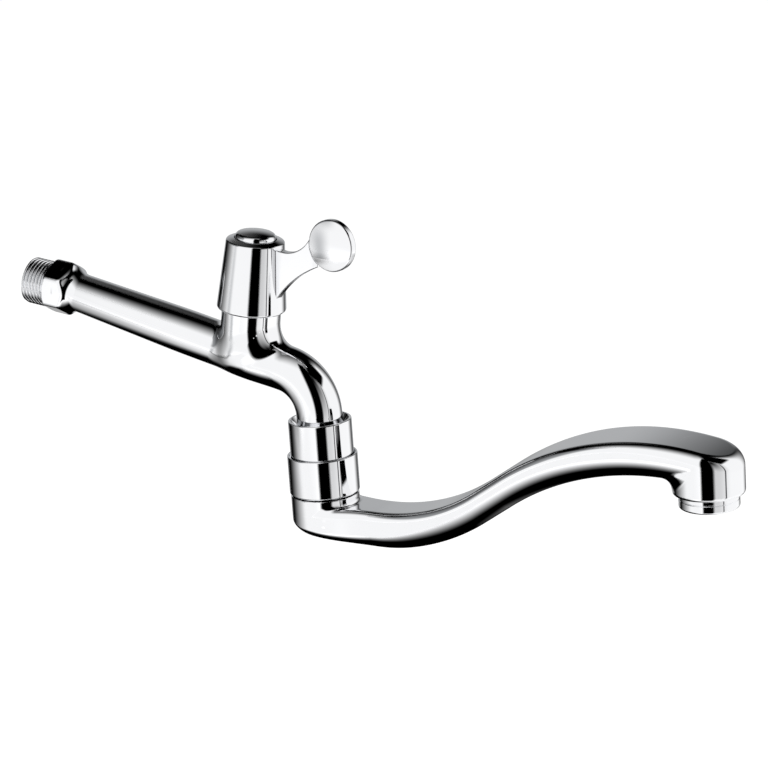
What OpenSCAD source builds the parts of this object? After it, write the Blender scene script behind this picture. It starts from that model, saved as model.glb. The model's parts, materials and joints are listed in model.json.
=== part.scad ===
// Wall-mounted sink tap: quarter-turn handle on a tower, S-shaped swing spout on a swivel.
// Millimetres. X runs out from the wall, Z is up, the origin is on the thread's axis at the wrench boss.

/* [Inlet] */
// outside diameter of the pipe thread, G 1/2
inlet_thread_d = 20.955; // [20.9:0.005:21]
// length of the threaded end
inlet_thread_len = 12; // [10:0.5:16]
// chamfer at the thread's free end
inlet_chamfer = 1; // [0.5:0.1:1.5]
// bore of the threaded end
inlet_bore_d = 13; // [11:0.5:15]
// depth of the wide bore, from the free end
inlet_bore_len = 18; // [14:0.5:20]

/* [Wrench boss] */
// width across the flats
hex_af = 22; // [21.5:0.1:24]
// circle that rounds the corners
hex_round_d = 24.4; // [24.2:0.1:25]
// length with full flats
hex_len = 9.5; // [8:0.5:11]
// cone from the boss to the tube
hex_cone_len = 5; // [4:0.5:7]
// chamfer of the face at the thread
hex_chamfer = 0.9; // [0.5:0.1:1.2]
// how far the cone ends inside the tube, on the radius
hex_cone_sink = 0.9; // [0.7:0.1:1.1]

/* [Tube] */
// diameter at the wrench boss
tube_start_d = 15.1; // [14.5:0.1:16]
// diameter at the tower
tube_end_d = 19.6; // [19:0.1:19.8]
// fall of the tube towards the tower, degrees
tube_slope = 6; // [4:0.5:7]
// place along the thread's axis where the fall starts
tube_bend_x = 8; // [6:0.5:9]
// bore of the tube
tube_bore_d = 10; // [8:0.5:10.5]

/* [Valve tower] */
// tower's axis from the wrench boss
tower_x = 103; // [98:0.5:110]
// outside diameter
tower_d = 25.8; // [25.4:0.1:26]
// top face, inside the handle
tower_top = 16; // [15:0.5:17]
// centre of the round underside
tower_round_z = -6.2; // [-6.5:0.1:-5.8]
// face of the valve seat
seat_z = -5; // [-5.5:0.1:-4.5]
// port through the seat
seat_port_d = 8; // [7:0.5:9]
// how far the tube's bore runs past the tower's axis
inlet_bore_past = 3; // [2:0.5:4]

/* [Neck] */
// outside diameter
neck_d = 20; // [19.9:0.1:20.4]
// bore
neck_bore_d = 12; // [10:0.5:13]
// straight run from the tower's axis to the bend
neck_run = 19.3; // [18:0.1:21]
// bend radius of the centre line
neck_bend_r = 20; // [18:0.5:24]
// straight end from the bend to the sleeve's rim
neck_end_len = 2.1; // [1.5:0.1:4]
// half length of the slight cone from straight part to bend
neck_blend = 0.6; // [0.5:0.1:0.8]
// how far the cone's middle lies past the bend's start
neck_lap = 0.15; // [0.1:0.05:0.2]
// how much the straight parts are thicker than the bend, on the radius
neck_step = 0.05; // [0.04:0.01:0.06]
// length screwed into the sleeve
neck_insert_len = 11; // [9:0.5:11.5]
// start of the outlet bore from the tower's axis, along the neck
outlet_start = 13; // [12:0.5:14]
// diameter of the slanting port from valve chamber to neck
outlet_port_d = 9; // [7:0.5:9.5]
// how far the slanting port runs into the neck's bore
outlet_reach = 4; // [3:0.5:5]

/* [Swivel] */
// lean of the swivel's axis, its foot forward, degrees
swivel_tilt = 9; // [7:0.5:10]
// sleeve's outside diameter
sleeve_d = 27.6; // [27.4:0.1:28]
// sleeve's length in view
sleeve_show = 15.5; // [15:0.1:16.5]
// mouth of the sleeve's top recess
sleeve_mouth_d = 25.4; // [24.6:0.1:25.8]
// floor of the sleeve's top recess
sleeve_recess_d = 21.6; // [21.2:0.1:22]
// depth of the sleeve's top recess
sleeve_recess = 3; // [2:0.1:3.5]
// chamfer at the sleeve's rim
sleeve_chamfer = 0.6; // [0.4:0.1:0.8]
// thread diameter under the nut
sleeve_thread_d = 25.2; // [25:0.1:25.6]
// foot of the sleeve below its rim
sleeve_foot = 26; // [25.5:0.1:26.5]
// nut's outside diameter
nut_d = 30.6; // [30.4:0.1:31]
// nut's length
nut_len = 17.5; // [17:0.1:18]
// nut's mouth round the sleeve
nut_mouth_d = 28.8; // [28.5:0.1:29]
// depth of the nut's mouth
nut_mouth_len = 3.4; // [3:0.1:4]
// chamfer at the nut's foot
nut_chamfer = 0.9; // [0.5:0.1:1.2]
// chamfer at the nut's mouth
nut_mouth_chamfer = 0.4; // [0.3:0.1:0.5]
// hole of the nut's inner flange
nut_hole_d = 18; // [17.8:0.1:18.4]
// seam between nut and spout
spout_seam = 0.35; // [0.3:0.05:0.5]

/* [Spout tail] */
// diameter in the sleeve
tail_d = 17; // [16.8:0.1:17.2]
// bore
tail_bore_d = 12; // [10:0.5:12.5]
// diameter screwed into the spout
tail_root_d = 19; // [18.8:0.1:19.4]
// length screwed into the spout
tail_root_len = 8; // [7:0.5:9]
// top of the tail below the sleeve's rim
tail_top = 12; // [11.8:0.1:13]
// first seal groove below the rim
tail_groove_1 = 17; // [16.5:0.1:17.5]
// second seal groove below the rim
tail_groove_2 = 22; // [21.5:0.1:22.5]
// how far the spout's socket is deeper than the tail
socket_extra = 1; // [0.5:0.1:1.5]
// thickness of the slip washer
washer_t = 1.6; // [1.4:0.1:1.7]
// radial clearance of the slip washer on the tail
washer_gap = 0.4; // [0.3:0.05:0.5]
// outside diameter of slip washer and split ring
ring_d = 21; // [20.6:0.1:21.4]
// thickness of the split ring
ring_t = 2.2; // [2:0.1:2.4]
// depth of the split ring's groove
ring_groove = 0.8; // [0.6:0.1:1]
// width of the split
ring_split = 2; // [1:0.5:3]

/* [Spout] */
// reach from the swivel's axis to the outlet's axis
spout_reach = 179; // [177:0.1:181]
// height of the arm's middle at the base, from the sleeve's rim
dip_z = -46.3; // [-47:0.1:-46]
// start of the upward curve
rise_start = 28.1; // [26:0.1:30]
// radius of the upward curve
rise_r = 90; // [86:0.5:94]
// steepest angle, degrees
rise_angle = 33.3; // [32.5:0.1:34]
// straight part between the curves, measured along the reach
rise_run = 13.6; // [12:0.1:16]
// radius of the curve over the crest
crest_r = 118; // [115:0.5:122]
// depth of the arm, top face to underside
arm_depth = 16.8; // [16.4:0.1:17.4]
// extra depth at the base
base_extra = 1.8; // [1:0.1:2.2]
// radius of the round base
base_r = 14.9; // [14.7:0.1:15.1]
// half width at the waist behind the base
waist_w = 10.7; // [10:0.1:12]
// end of the waist's curve from the base
waist_u = 27; // [24:0.5:32]
// place where the full nose width is reached
nose_u = 135; // [120:1:150]
// radius of the round nose
nose_r = 14.8; // [14.6:0.05:15]
// edge round of the flat top
top_round = 2.6; // [2:0.1:3]
// height of the rounded underside
under_round = 11; // [9:0.5:12]
// height of the rounded underside at the base
base_under = 6; // [5:0.5:8]
// rise of the underside towards the back of the base
base_lift = 6; // [4:0.5:7]
// place where that rise starts
lift_start = 45; // [40:1:55]
// foot of the upright round base above the arm's middle
base_foot = 3; // [2.5:0.1:4]
// how far the upright base stands out from the arm, on the radius
base_skin = 0.08; // [0.06:0.01:0.12]
// wall thickness
spout_wall = 2.6; // [2.2:0.1:3]
// face of the nozzle below the arm's middle
nozzle_drop = 11.5; // [11:0.1:12]
// edge round of the nozzle
nozzle_round = 1.5; // [1:0.1:2]
// height of the nozzle boss to its chamfer under the nose
nozzle_boss_h = 11.3; // [10.8:0.1:11.6]
// chamfer that leads the boss into the nose
nozzle_lead = 1.5; // [1.2:0.1:2]
// how far the boss stands back from the nose, on the radius
nozzle_step = 0.1; // [0.05:0.05:0.2]

/* [Aerator] */
// outside diameter
aerator_d = 24.8; // [24.4:0.1:25]
// height in view
aerator_show = 5.7; // [5:0.1:6.5]
// edge round at the foot
aerator_round = 1; // [0.6:0.1:1.4]
// thread diameter in the nozzle
aerator_thread_d = 22; // [21.8:0.1:22.2]
// thread length
aerator_thread_len = 7.5; // [6.5:0.5:8]
// bore
aerator_bore_d = 19.4; // [19:0.1:19.8]
// mouth at the foot
aerator_mouth_d = 17.6; // [17:0.1:18.2]
// thickness of the lip at the foot
aerator_lip = 1.2; // [1:0.1:1.5]
// thickness of the gasket
gasket_t = 1.8; // [1.5:0.1:2]
// hole of the gasket
gasket_bore_d = 16.6; // [16:0.1:17]
// wall of the core's cup
core_wall = 1.2; // [1:0.1:1.4]
// number of jets in the outer ring of the core
jet_count = 12; // [8:1:14]
// radius of the outer ring of jets
jet_ring_r = 6.4; // [6:0.1:6.8]
// number of jets in the inner ring
inner_jet_count = 6; // [4:1:7]
// radius of the inner ring of jets
inner_ring_r = 3.2; // [2.8:0.1:3.6]
// diameter of a jet
jet_d = 1.8; // [1.4:0.1:2]
// thickness of the screen
screen_t = 0.8; // [0.6:0.1:1]

/* [Handle] */
// bell's foot above the thread's axis
bell_z = 11.2; // [10.8:0.1:11.6]
// height of the bell
bell_h = 31.7; // [31.4:0.1:32]
// diameter at the foot
bell_foot_d = 30.4; // [30.2:0.1:31]
// diameter at the top
bell_top_d = 25.4; // [25.2:0.1:25.8]
// edge round at the foot
bell_foot_round = 1.2; // [0.8:0.1:1.3]
// edge round at the top
bell_top_round = 0.9; // [0.7:0.1:1.2]
// rise of the top face to its rim
bell_crown = 0.15; // [0.1:0.05:0.3]
// width of the rim round the cap's recess
bell_rim_w = 0.6; // [0.4:0.1:0.8]
// inside diameter round the tower
bell_skirt_d = 26.6; // [26.5:0.1:26.8]
// height of the skirt's inside
bell_skirt_h = 9; // [8:0.5:10]
// inside diameter above the skirt
bell_cavity_d = 23.2; // [22.9:0.1:23.4]
// ceiling of the cavity above the foot
bell_ceiling = 23; // [22:0.5:24]
// diameter of the hub
hub_d = 13; // [12:0.5:14]
// foot of the hub above the bell's foot
hub_foot = 17; // [16.8:0.1:18]
// diameter of the recess for the index cap
cap_recess_d = 18.2; // [18:0.1:18.4]
// depth of the recess
cap_recess = 4.8; // [4.7:0.1:5]
// diameter of the index cap
cap_d = 17.7; // [17.4:0.1:17.8]
// height of the cap's edge above the bell's rim
cap_rise = 0.7; // [0.5:0.1:0.9]
// rise of the cap's dome
cap_dome = 2.2; // [1.8:0.1:2.6]
// thickness of the cap's edge
cap_t = 2; // [1.8:0.1:2.2]

/* [Lever] */
// stored angle of the lever from straight out, degrees
lever_yaw = -6; // [-12:0.5:6]
// paddle's centre from the tower's axis
paddle_x = 40.1; // [39.5:0.1:41]
// paddle's centre above the thread's axis
paddle_z = 48.6; // [48.2:0.1:49]
// paddle's diameter
paddle_d = 22.4; // [21.8:0.1:22.8]
// thickness of the paddle's edge
paddle_edge = 3.2; // [2.8:0.1:3.6]
// rise of each face at the middle
paddle_dome = 0.9; // [0.6:0.1:1.2]
// thickness of the blade at the paddle
blade_t = 4.4; // [4:0.1:4.8]
// thickness of the blade at the bell
blade_root_t = 4.8; // [4.6:0.1:5.2]
// how far short of the paddle's centre the blade ends
blade_stop = 6; // [5:0.5:7]
// narrowing of the blade inside the paddle, on each side
blade_taper = 0.4; // [0.2:0.1:0.6]
// foot of the blade's root above the bell's foot
blade_foot = 4; // [3:0.5:5]
// top of the blade above the paddle's centre
blade_rise = 1.6; // [1.2:0.1:2]
// radius of the blade's upper hollow
blade_top_r = 14.5; // [14:0.1:15]
// centre of the upper hollow from the tower's axis
blade_top_x = 15.5; // [15:0.1:16]
// centre of the upper hollow above the thread's axis
blade_top_z = 55; // [54.8:0.1:55.4]
// radius of the blade's lower hollow
blade_under_r = 50; // [49.5:0.1:51]
// centre of the lower hollow from the tower's axis
blade_under_x = 57.2; // [57:0.1:57.6]
// centre of the lower hollow above the thread's axis
blade_under_z = -6.6; // [-7:0.1:-6.4]
// width of the tenon in the bell
tenon_t = 4; // [3.5:0.1:4.4]
// height of the tenon
tenon_h = 10; // [8:0.5:11]
// tenon's foot above the thread's axis
tenon_z = 26; // [25:0.5:27]

/* [Cartridge] */
// thread diameter in the tower
cartridge_thread_d = 18; // [17.8:0.1:18.2]
// foot of the thread
cartridge_thread_z = 9; // [8.5:0.1:9.5]
// diameter of the lower housing
cartridge_d = 16; // [15.8:0.1:16.2]
// foot of the housing
cartridge_z = -2; // [-2.2:0.1:-1.8]
// chamber for the discs
disc_chamber_d = 13.4; // [13.2:0.1:13.6]
// ceiling of the disc chamber
disc_chamber_top = 8.4; // [8.2:0.1:8.6]
// width across flats of the housing's nut
cartridge_af = 19; // [18.5:0.1:19.4]
// circle that rounds the nut's corners
cartridge_corner_d = 21.2; // [20.8:0.1:21.6]
// height of the housing's nut
cartridge_nut_h = 3.6; // [3:0.1:4]
// diameter of the spindle guide
guide_d = 12; // [11.4:0.1:12.4]
// top of the spindle guide
guide_top = 26; // [25.8:0.1:26.2]
// diameter of the outlet windows in the housing
window_d = 4; // [3.5:0.1:4.4]
// height of the windows' axis
window_z = 6.2; // [6:0.1:6.4]
// diameter of the ceramic discs
disc_d = 13; // [12.8:0.1:13.1]
// thickness of the fixed disc
stator_t = 3; // [2.8:0.1:3.1]
// thickness of the turning disc
rotor_t = 2.4; // [2.2:0.1:2.5]
// foot of the fixed disc
stator_z = -0.2; // [-0.3:0.1:0]
// gap between the polished faces
disc_gap = 0.05; // [0.02:0.01:0.1]
// diameter of a port in the discs
port_d = 4.4; // [3.8:0.1:4.6]
// distance of the ports from the axis
port_r = 3.4; // [3.2:0.1:3.6]
// inside diameter of the seat seal
seal_bore_d = 8.4; // [8:0.1:9]
// outside diameter of the seat seal
seal_d = 12.8; // [12.4:0.1:13]

/* [Spindle] */
// diameter
spindle_d = 8; // [7.8:0.1:8.2]
// top, under the bell's web
spindle_top = 34; // [33.5:0.1:34]
// diameter of the driver foot
driver_d = 12.6; // [12.4:0.1:12.8]
// height of the driver foot
driver_h = 2.4; // [2:0.1:2.6]
// first seal groove
stem_groove_1 = 13; // [12.5:0.1:13.5]
// second seal groove
stem_groove_2 = 18; // [17.5:0.1:18.5]
// height of the circlip groove's foot
circlip_z = 26.4; // [26.3:0.1:26.6]
// thickness of the circlip
circlip_t = 1; // [0.8:0.1:1.1]
// outside diameter of the circlip
circlip_d = 11.6; // [11:0.1:11.8]
// opening of the circlip
circlip_open = 5; // [4:0.5:6]
// depth of the circlip groove
circlip_groove = 0.6; // [0.5:0.1:0.8]
// handle screw's thread diameter
screw_d = 4; // [3.8:0.1:4]
// handle screw's length in the spindle
screw_len = 7; // [6:0.5:8]
// handle screw's head diameter
screw_head_d = 7.4; // [7:0.1:7.6]
// handle screw's head height
screw_head_h = 2.2; // [2:0.1:2.3]
// width across flats of the key socket
screw_key = 2.5; // [2.4:0.1:2.6]
// depth of the key socket
screw_key_depth = 1.4; // [1:0.1:1.6]
// how far the spindle is tapped past the screw's end
tap_extra = 1; // [0.5:0.1:2]
// radial clearance of the screw in the bell's web
screw_hole_gap = 0.3; // [0.2:0.05:0.4]

/* [Seals] */
// section of the small O-rings on the spindle
stem_ring_d = 1.5; // [1.4:0.1:1.6]
// section of the O-rings on the spout's tail
tail_ring_d = 2; // [1.8:0.1:2.2]
// section of the O-ring under the housing's nut
bonnet_ring_d = 1.6; // [1.5:0.1:1.7]

/* [Fits] */
// radial clearance of what turns
run_gap = 0.05; // [0.02:0.01:0.08]
// radial clearance of what is screwed or pressed together
screw_gap = 0.04; // [0.02:0.01:0.08]
// face clearance between stacked pieces
stack_gap = 0.1; // [0.05:0.05:0.15]

/* [Smoothness] */
// segments of a full circle
round_steps = 64; // [48:8:96]
// sections along the spout
arm_steps = 44; // [32:2:56]
// ribs round the spout's nose and base
rib_steps = 18; // [14:2:24]

/* [Hidden] */
$fn = round_steps;
axis_z = function (x) -(x - tube_bend_x) * tan(tube_slope);
tower_axis_z = axis_z(tower_x);
tube_len = (tower_x - tube_bend_x) / cos(tube_slope);
bend_angle = 90 - tube_slope - swivel_tilt;
bend_start = [tower_x + neck_run * cos(tube_slope), tower_axis_z - neck_run * sin(tube_slope)];
bend_mid = [bend_start[0] - neck_bend_r * sin(tube_slope), bend_start[1] - neck_bend_r * cos(tube_slope)];
bend_end = [bend_mid[0] + neck_bend_r * cos(swivel_tilt), bend_mid[1] + neck_bend_r * sin(swivel_tilt)];
rim = [bend_end[0] + neck_end_len * sin(swivel_tilt), bend_end[1] - neck_end_len * cos(swivel_tilt)];
nut_foot = sleeve_show + nut_len;
spout_top = -(nut_foot + spout_seam);
washer_top = sleeve_foot + stack_gap;
ring_top = washer_top + washer_t + stack_gap;
flange_top = ring_top + ring_t + stack_gap;
bell_top = bell_z + bell_h;
web_top = bell_top - cap_recess;
blade_near = bell_cavity_d / 2;
blade_far = paddle_x - blade_stop;
rotor_z = stator_z + stator_t + disc_gap;
driver_z = rotor_z + rotor_t;
rise_end = rise_start + rise_r * sin(rise_angle);
rise_end_z = dip_z + rise_r * (1 - cos(rise_angle));
crest_start = rise_end + rise_run;
crest_start_z = rise_end_z + rise_run * tan(rise_angle);
crest_u = crest_start + crest_r * sin(rise_angle);
crest_mid_z = crest_start_z - crest_r * cos(rise_angle);
nozzle_z = arm_z(spout_reach) - nozzle_drop;
flat_steps = 3;
edge_steps = 5;
under_steps = 11;
rib_points = flat_steps + edge_steps + under_steps + 1;
corner_steps = 5;
top_round_turn = 70;
inner_edge = 1;
hex_turn = 30;
cut = 0.5;
skim = 0.01;

// colours
chrome = [0.82, 0.83, 0.85];
brass = [0.79, 0.62, 0.3];
steel = [0.68, 0.69, 0.71];
rubber = [0.08, 0.08, 0.08];
ceramic = [0.94, 0.94, 0.91];
plastic = [0.9, 0.9, 0.88];

// frames
module along_x(x) {
  translate([x, 0, 0]) rotate([0, 90, 0]) children();
}

module tube_frame() {
  translate([tube_bend_x, 0, 0]) rotate([0, 90 + tube_slope, 0]) children();
}

module neck_frame() {
  translate([tower_x, 0, tower_axis_z]) rotate([0, 90 + tube_slope, 0]) children();
}

module tower_frame() {
  translate([tower_x, 0, 0]) children();
}

module lever_frame() {
  tower_frame() rotate([0, 0, lever_yaw]) children();
}

module swivel_frame() {
  translate([rim[0], 0, rim[1]]) rotate([0, -swivel_tilt, 0]) children();
}

module nozzle_frame() {
  swivel_frame() translate([spout_reach, 0, 0]) children();
}

// a torus seated on its middle circle
module o_ring(mid_r, section_d) {
  rotate_extrude() translate([mid_r, 0]) circle(d = section_d);
}

module washer(outer_d, inner_d, t) {
  difference() {
    cylinder(d = outer_d, h = t);
    translate([0, 0, -cut]) cylinder(d = inner_d, h = t + 2 * cut);
  }
}

// bend of the neck, with a round section of the given diameter
module bend(section_d) {
  translate([bend_mid[0], 0, bend_mid[1]]) rotate([90, 0, 0]) rotate([0, 0, swivel_tilt])
    rotate_extrude(angle = bend_angle) translate([neck_bend_r, 0]) circle(d = section_d);
}

// straight part of the neck or its bore, which meets the bend in a slight cone
module neck_straight(bend_d, h) {
  cone_from = h + neck_lap - neck_blend;
  cylinder(d = bend_d + 2 * neck_step, h = cone_from);
  translate([0, 0, cone_from]) cylinder(d1 = bend_d + 2 * neck_step, d2 = bend_d - 2 * neck_step,
    h = 2 * neck_blend);
}

module wrench_boss() {
  boss_len = hex_len + hex_cone_len;
  intersection() {
    cylinder(d = hex_af / cos(hex_turn), h = boss_len, $fn = 6);
    union() {
      cylinder(d1 = hex_round_d - 2 * hex_chamfer, d2 = hex_round_d, h = hex_chamfer);
      translate([0, 0, hex_chamfer]) cylinder(d = hex_round_d, h = hex_len - hex_chamfer);
      translate([0, 0, hex_len]) cylinder(d1 = hex_round_d, d2 = tube_start_d - 2 * hex_cone_sink,
        h = hex_cone_len);
    }
  }
}

module body_skin() {
  along_x(-inlet_thread_len) cylinder(d1 = inlet_thread_d - 2 * inlet_chamfer, d2 = inlet_thread_d,
    h = inlet_chamfer);
  along_x(-inlet_thread_len + inlet_chamfer) cylinder(d = inlet_thread_d,
    h = inlet_thread_len - inlet_chamfer + cut);
  along_x(0) wrench_boss();
  tube_frame() cylinder(d1 = tube_start_d, d2 = tube_end_d, h = tube_len);
  tower_frame() translate([0, 0, tower_round_z]) sphere(d = tower_d);
  tower_frame() translate([0, 0, tower_round_z]) cylinder(d = tower_d, h = tower_top - tower_round_z);
  neck_frame() neck_straight(neck_d, neck_run);
  bend(neck_d);
  swivel_frame() translate([0, 0, -neck_insert_len]) neck_straight(neck_d, neck_insert_len + neck_end_len);
}

module body_ways() {
  chamber_d = cartridge_thread_d + 2 * screw_gap;
  along_x(-inlet_thread_len - cut) cylinder(d = inlet_bore_d, h = inlet_bore_len + cut);
  tube_frame() translate([0, 0, -tube_bend_x]) cylinder(d = tube_bore_d,
    h = tube_len + tube_bend_x + inlet_bore_past);
  tower_frame() translate([0, 0, tower_axis_z]) cylinder(d = seat_port_d, h = seat_z - tower_axis_z + cut);
  tower_frame() translate([0, 0, seat_z]) cylinder(d = chamber_d, h = tower_top - seat_z + cut);
  outlet_way();
  neck_frame() translate([0, 0, outlet_start]) neck_straight(neck_bore_d, neck_run - outlet_start);
  bend(neck_bore_d);
  swivel_frame() translate([0, 0, -neck_insert_len - cut]) neck_straight(neck_bore_d,
    neck_insert_len + neck_end_len + cut);
}

// slanting port from the chamber round the housing down into the neck's bore
module outlet_way() {
  from = [(cartridge_thread_d - outlet_port_d) / 2, seat_z + outlet_port_d / 2];
  to = [outlet_start * cos(tube_slope) + outlet_reach, tower_axis_z - outlet_start * sin(tube_slope)];
  run = norm(to - from);
  fall = atan2(from[1] - to[1], to[0] - from[0]);
  translate([tower_x + from[0], 0, from[1]]) rotate([0, 90 + fall, 0]) cylinder(d = outlet_port_d, h = run);
}

module body() {
  color(chrome) difference() {
    body_skin();
    body_ways();
  }
}

// upper collar, screwed on the neck
module swivel_sleeve() {
  nut_shoulder = sleeve_show + nut_mouth_len - stack_gap;
  color(chrome) swivel_frame() difference() {
    union() {
      translate([0, 0, -nut_shoulder]) cylinder(d = sleeve_d, h = nut_shoulder - sleeve_chamfer);
      translate([0, 0, -sleeve_chamfer]) cylinder(d1 = sleeve_d, d2 = sleeve_d - 2 * sleeve_chamfer,
        h = sleeve_chamfer);
      translate([0, 0, -sleeve_foot]) cylinder(d = sleeve_thread_d, h = sleeve_foot - nut_shoulder + cut);
    }
    translate([0, 0, -sleeve_recess]) cylinder(d1 = sleeve_recess_d, d2 = sleeve_mouth_d,
      h = sleeve_recess + skim);
    translate([0, 0, -neck_insert_len - stack_gap]) cylinder(d = neck_d + 2 * (neck_step + screw_gap),
      h = neck_insert_len);
    translate([0, 0, -sleeve_foot - cut]) cylinder(d = tail_d + 2 * run_gap, h = sleeve_foot);
  }
}

// lower collar, screwed on the sleeve, with the flange that carries the spout
module spout_nut() {
  color(chrome) swivel_frame() difference() {
    union() {
      translate([0, 0, -nut_foot]) cylinder(d1 = nut_d - 2 * nut_chamfer, d2 = nut_d, h = nut_chamfer);
      translate([0, 0, -nut_foot + nut_chamfer]) cylinder(d = nut_d,
        h = nut_len - nut_chamfer - nut_mouth_chamfer);
      translate([0, 0, -sleeve_show - nut_mouth_chamfer]) cylinder(d1 = nut_d,
        d2 = nut_d - 2 * nut_mouth_chamfer, h = nut_mouth_chamfer);
    }
    translate([0, 0, -sleeve_show - nut_mouth_len]) cylinder(d = nut_mouth_d, h = nut_mouth_len + cut);
    translate([0, 0, -flange_top]) cylinder(d = sleeve_thread_d + 2 * screw_gap, h = flange_top);
    translate([0, 0, -nut_foot - cut]) cylinder(d = nut_hole_d, h = nut_foot);
  }
}

module slip_washer() {
  color(plastic) swivel_frame() translate([0, 0, -washer_top - washer_t])
    washer(ring_d, tail_d + 2 * washer_gap, washer_t);
}

// cartridge
module cartridge_body() {
  nut_z = tower_top + stack_gap;
  color(brass) tower_frame() difference() {
    union() {
      translate([0, 0, cartridge_z]) cylinder(d = cartridge_d, h = cartridge_thread_z - cartridge_z);
      translate([0, 0, cartridge_thread_z]) cylinder(d = cartridge_thread_d,
        h = nut_z - cartridge_thread_z);
      translate([0, 0, nut_z]) intersection() {
        cylinder(d = cartridge_af / cos(hex_turn), h = cartridge_nut_h, $fn = 6);
        cylinder(d = cartridge_corner_d, h = cartridge_nut_h);
      }
      translate([0, 0, nut_z + cartridge_nut_h]) cylinder(d = guide_d,
        h = guide_top - nut_z - cartridge_nut_h);
    }
    translate([0, 0, cartridge_z - cut]) cylinder(d = disc_chamber_d,
      h = disc_chamber_top - cartridge_z + cut);
    cylinder(d = spindle_d + 2 * run_gap, h = guide_top + cut);
    for (turn = [45, 135]) rotate([0, 0, turn]) translate([0, 0, window_z]) rotate([0, 90, 0])
      cylinder(d = window_d, h = cartridge_d + cut, center = true);
    translate([0, 0, nut_z]) bonnet_groove();
  }
}

// groove round the thread just under the housing's nut
module bonnet_groove() {
  groove_h = bonnet_ring_d + 2 * stack_gap;
  translate([0, 0, -groove_h]) difference() {
    cylinder(d = cartridge_thread_d + 2 * cut, h = groove_h);
    translate([0, 0, -cut]) cylinder(d = cartridge_thread_d - 2 * bonnet_ring_d, h = groove_h + 2 * cut);
  }
}

module bonnet_o_ring() {
  color(rubber) tower_frame() translate([0, 0, tower_top - bonnet_ring_d / 2])
    o_ring((cartridge_thread_d - bonnet_ring_d) / 2, bonnet_ring_d);
}

// two opposite ports in a ceramic disc
module disc_ports(t) {
  for (side = [0, 180]) rotate([0, 0, side]) translate([port_r, 0, -cut])
    cylinder(d = port_d, h = t + 2 * cut);
}

module stator_disc() {
  color(ceramic) tower_frame() translate([0, 0, stator_z]) difference() {
    cylinder(d = disc_d, h = stator_t);
    disc_ports(stator_t);
  }
}

module rotor_disc() {
  color(ceramic) tower_frame() rotate([0, 0, 90]) translate([0, 0, rotor_z]) difference() {
    cylinder(d = disc_d, h = rotor_t);
    disc_ports(rotor_t);
  }
}

module seat_seal() {
  color(rubber) tower_frame() translate([0, 0, seat_z]) washer(seal_d, seal_bore_d, stator_z - seat_z);
}

// spindle with its driver foot, seal grooves, circlip groove and tapped end
module spindle() {
  color(brass) tower_frame() difference() {
    union() {
      translate([0, 0, driver_z]) cylinder(d = driver_d, h = driver_h);
      translate([0, 0, driver_z]) cylinder(d = spindle_d, h = spindle_top - driver_z);
    }
    for (z = [stem_groove_1, stem_groove_2]) translate([0, 0, z])
      shaft_groove(spindle_d, spindle_d - 2 * stem_ring_d, stem_ring_d + 2 * stack_gap);
    translate([0, 0, circlip_z + circlip_t / 2])
      shaft_groove(spindle_d, spindle_d - 2 * circlip_groove, circlip_t + 2 * stack_gap);
    translate([0, 0, spindle_top - screw_len - tap_extra]) cylinder(d = screw_d + 2 * screw_gap,
      h = screw_len + tap_extra + cut);
  }
}

// ring-shaped cut, centred on its own height
module shaft_groove(shaft_d, floor_d, width) {
  difference() {
    cylinder(d = shaft_d + 2 * cut, h = width, center = true);
    cylinder(d = floor_d, h = width + 2 * cut, center = true);
  }
}

module stem_o_rings() {
  color(rubber) tower_frame() for (z = [stem_groove_1, stem_groove_2]) translate([0, 0, z])
    o_ring((spindle_d - stem_ring_d) / 2, stem_ring_d);
}

module circlip() {
  inner_d = spindle_d - 2 * circlip_groove + 2 * screw_gap;
  color(steel) tower_frame() translate([0, 0, circlip_z]) difference() {
    washer(circlip_d, inner_d, circlip_t);
    translate([0, -circlip_open / 2, -cut]) cube([circlip_d, circlip_open, circlip_t + 2 * cut]);
  }
}

// points of a rounded corner about a centre, between two angles
function corner(mid, r, from, to) = [for (k = [0:corner_steps])
  let (a = from + (to - from) * k / corner_steps) [mid[0] + r * cos(a), mid[1] + r * sin(a)]];

// outside of the bell, grown by a clearance
module bell_skin(grow) {
  foot_r = bell_foot_d / 2 + grow;
  top_r = bell_top_d / 2 + grow;
  rotate_extrude() polygon(concat([[0, 0]],
    corner([foot_r - bell_foot_round, bell_foot_round], bell_foot_round, -90, 0),
    corner([top_r - bell_top_round, bell_h - bell_top_round], bell_top_round, 0, top_round_turn),
    [[cap_recess_d / 2 + bell_rim_w, bell_h + bell_crown], [0, bell_h + bell_crown]]));
}

module handle_bell() {
  color(chrome) tower_frame() difference() {
    translate([0, 0, bell_z]) bell_skin(0);
    translate([0, 0, bell_z]) bell_inside();
    rotate([0, 0, lever_yaw]) lever_tenon(screw_gap);
  }
}

module bell_inside() {
  translate([0, 0, -cut]) cylinder(d = bell_skirt_d, h = bell_skirt_h + cut);
  difference() {
    cylinder(d = bell_cavity_d, h = bell_ceiling);
    translate([0, 0, hub_foot]) cylinder(d = hub_d, h = bell_ceiling);
  }
  translate([0, 0, hub_foot - cut]) cylinder(d = spindle_d + 2 * screw_gap,
    h = bell_ceiling - hub_foot + cut);
  cylinder(d = screw_d + 2 * screw_hole_gap, h = bell_h);
  translate([0, 0, bell_h - cap_recess]) cylinder(d = cap_recess_d, h = cap_recess + 2 * cut);
}

// tongue of the lever in the bell's wall
module lever_tenon(grow) {
  translate([bell_cavity_d / 2 - cut, -tenon_t / 2 - grow, tenon_z - grow])
    cube([bell_foot_d / 2 - bell_cavity_d / 2, tenon_t + 2 * grow, tenon_h + 2 * grow]);
}

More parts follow.
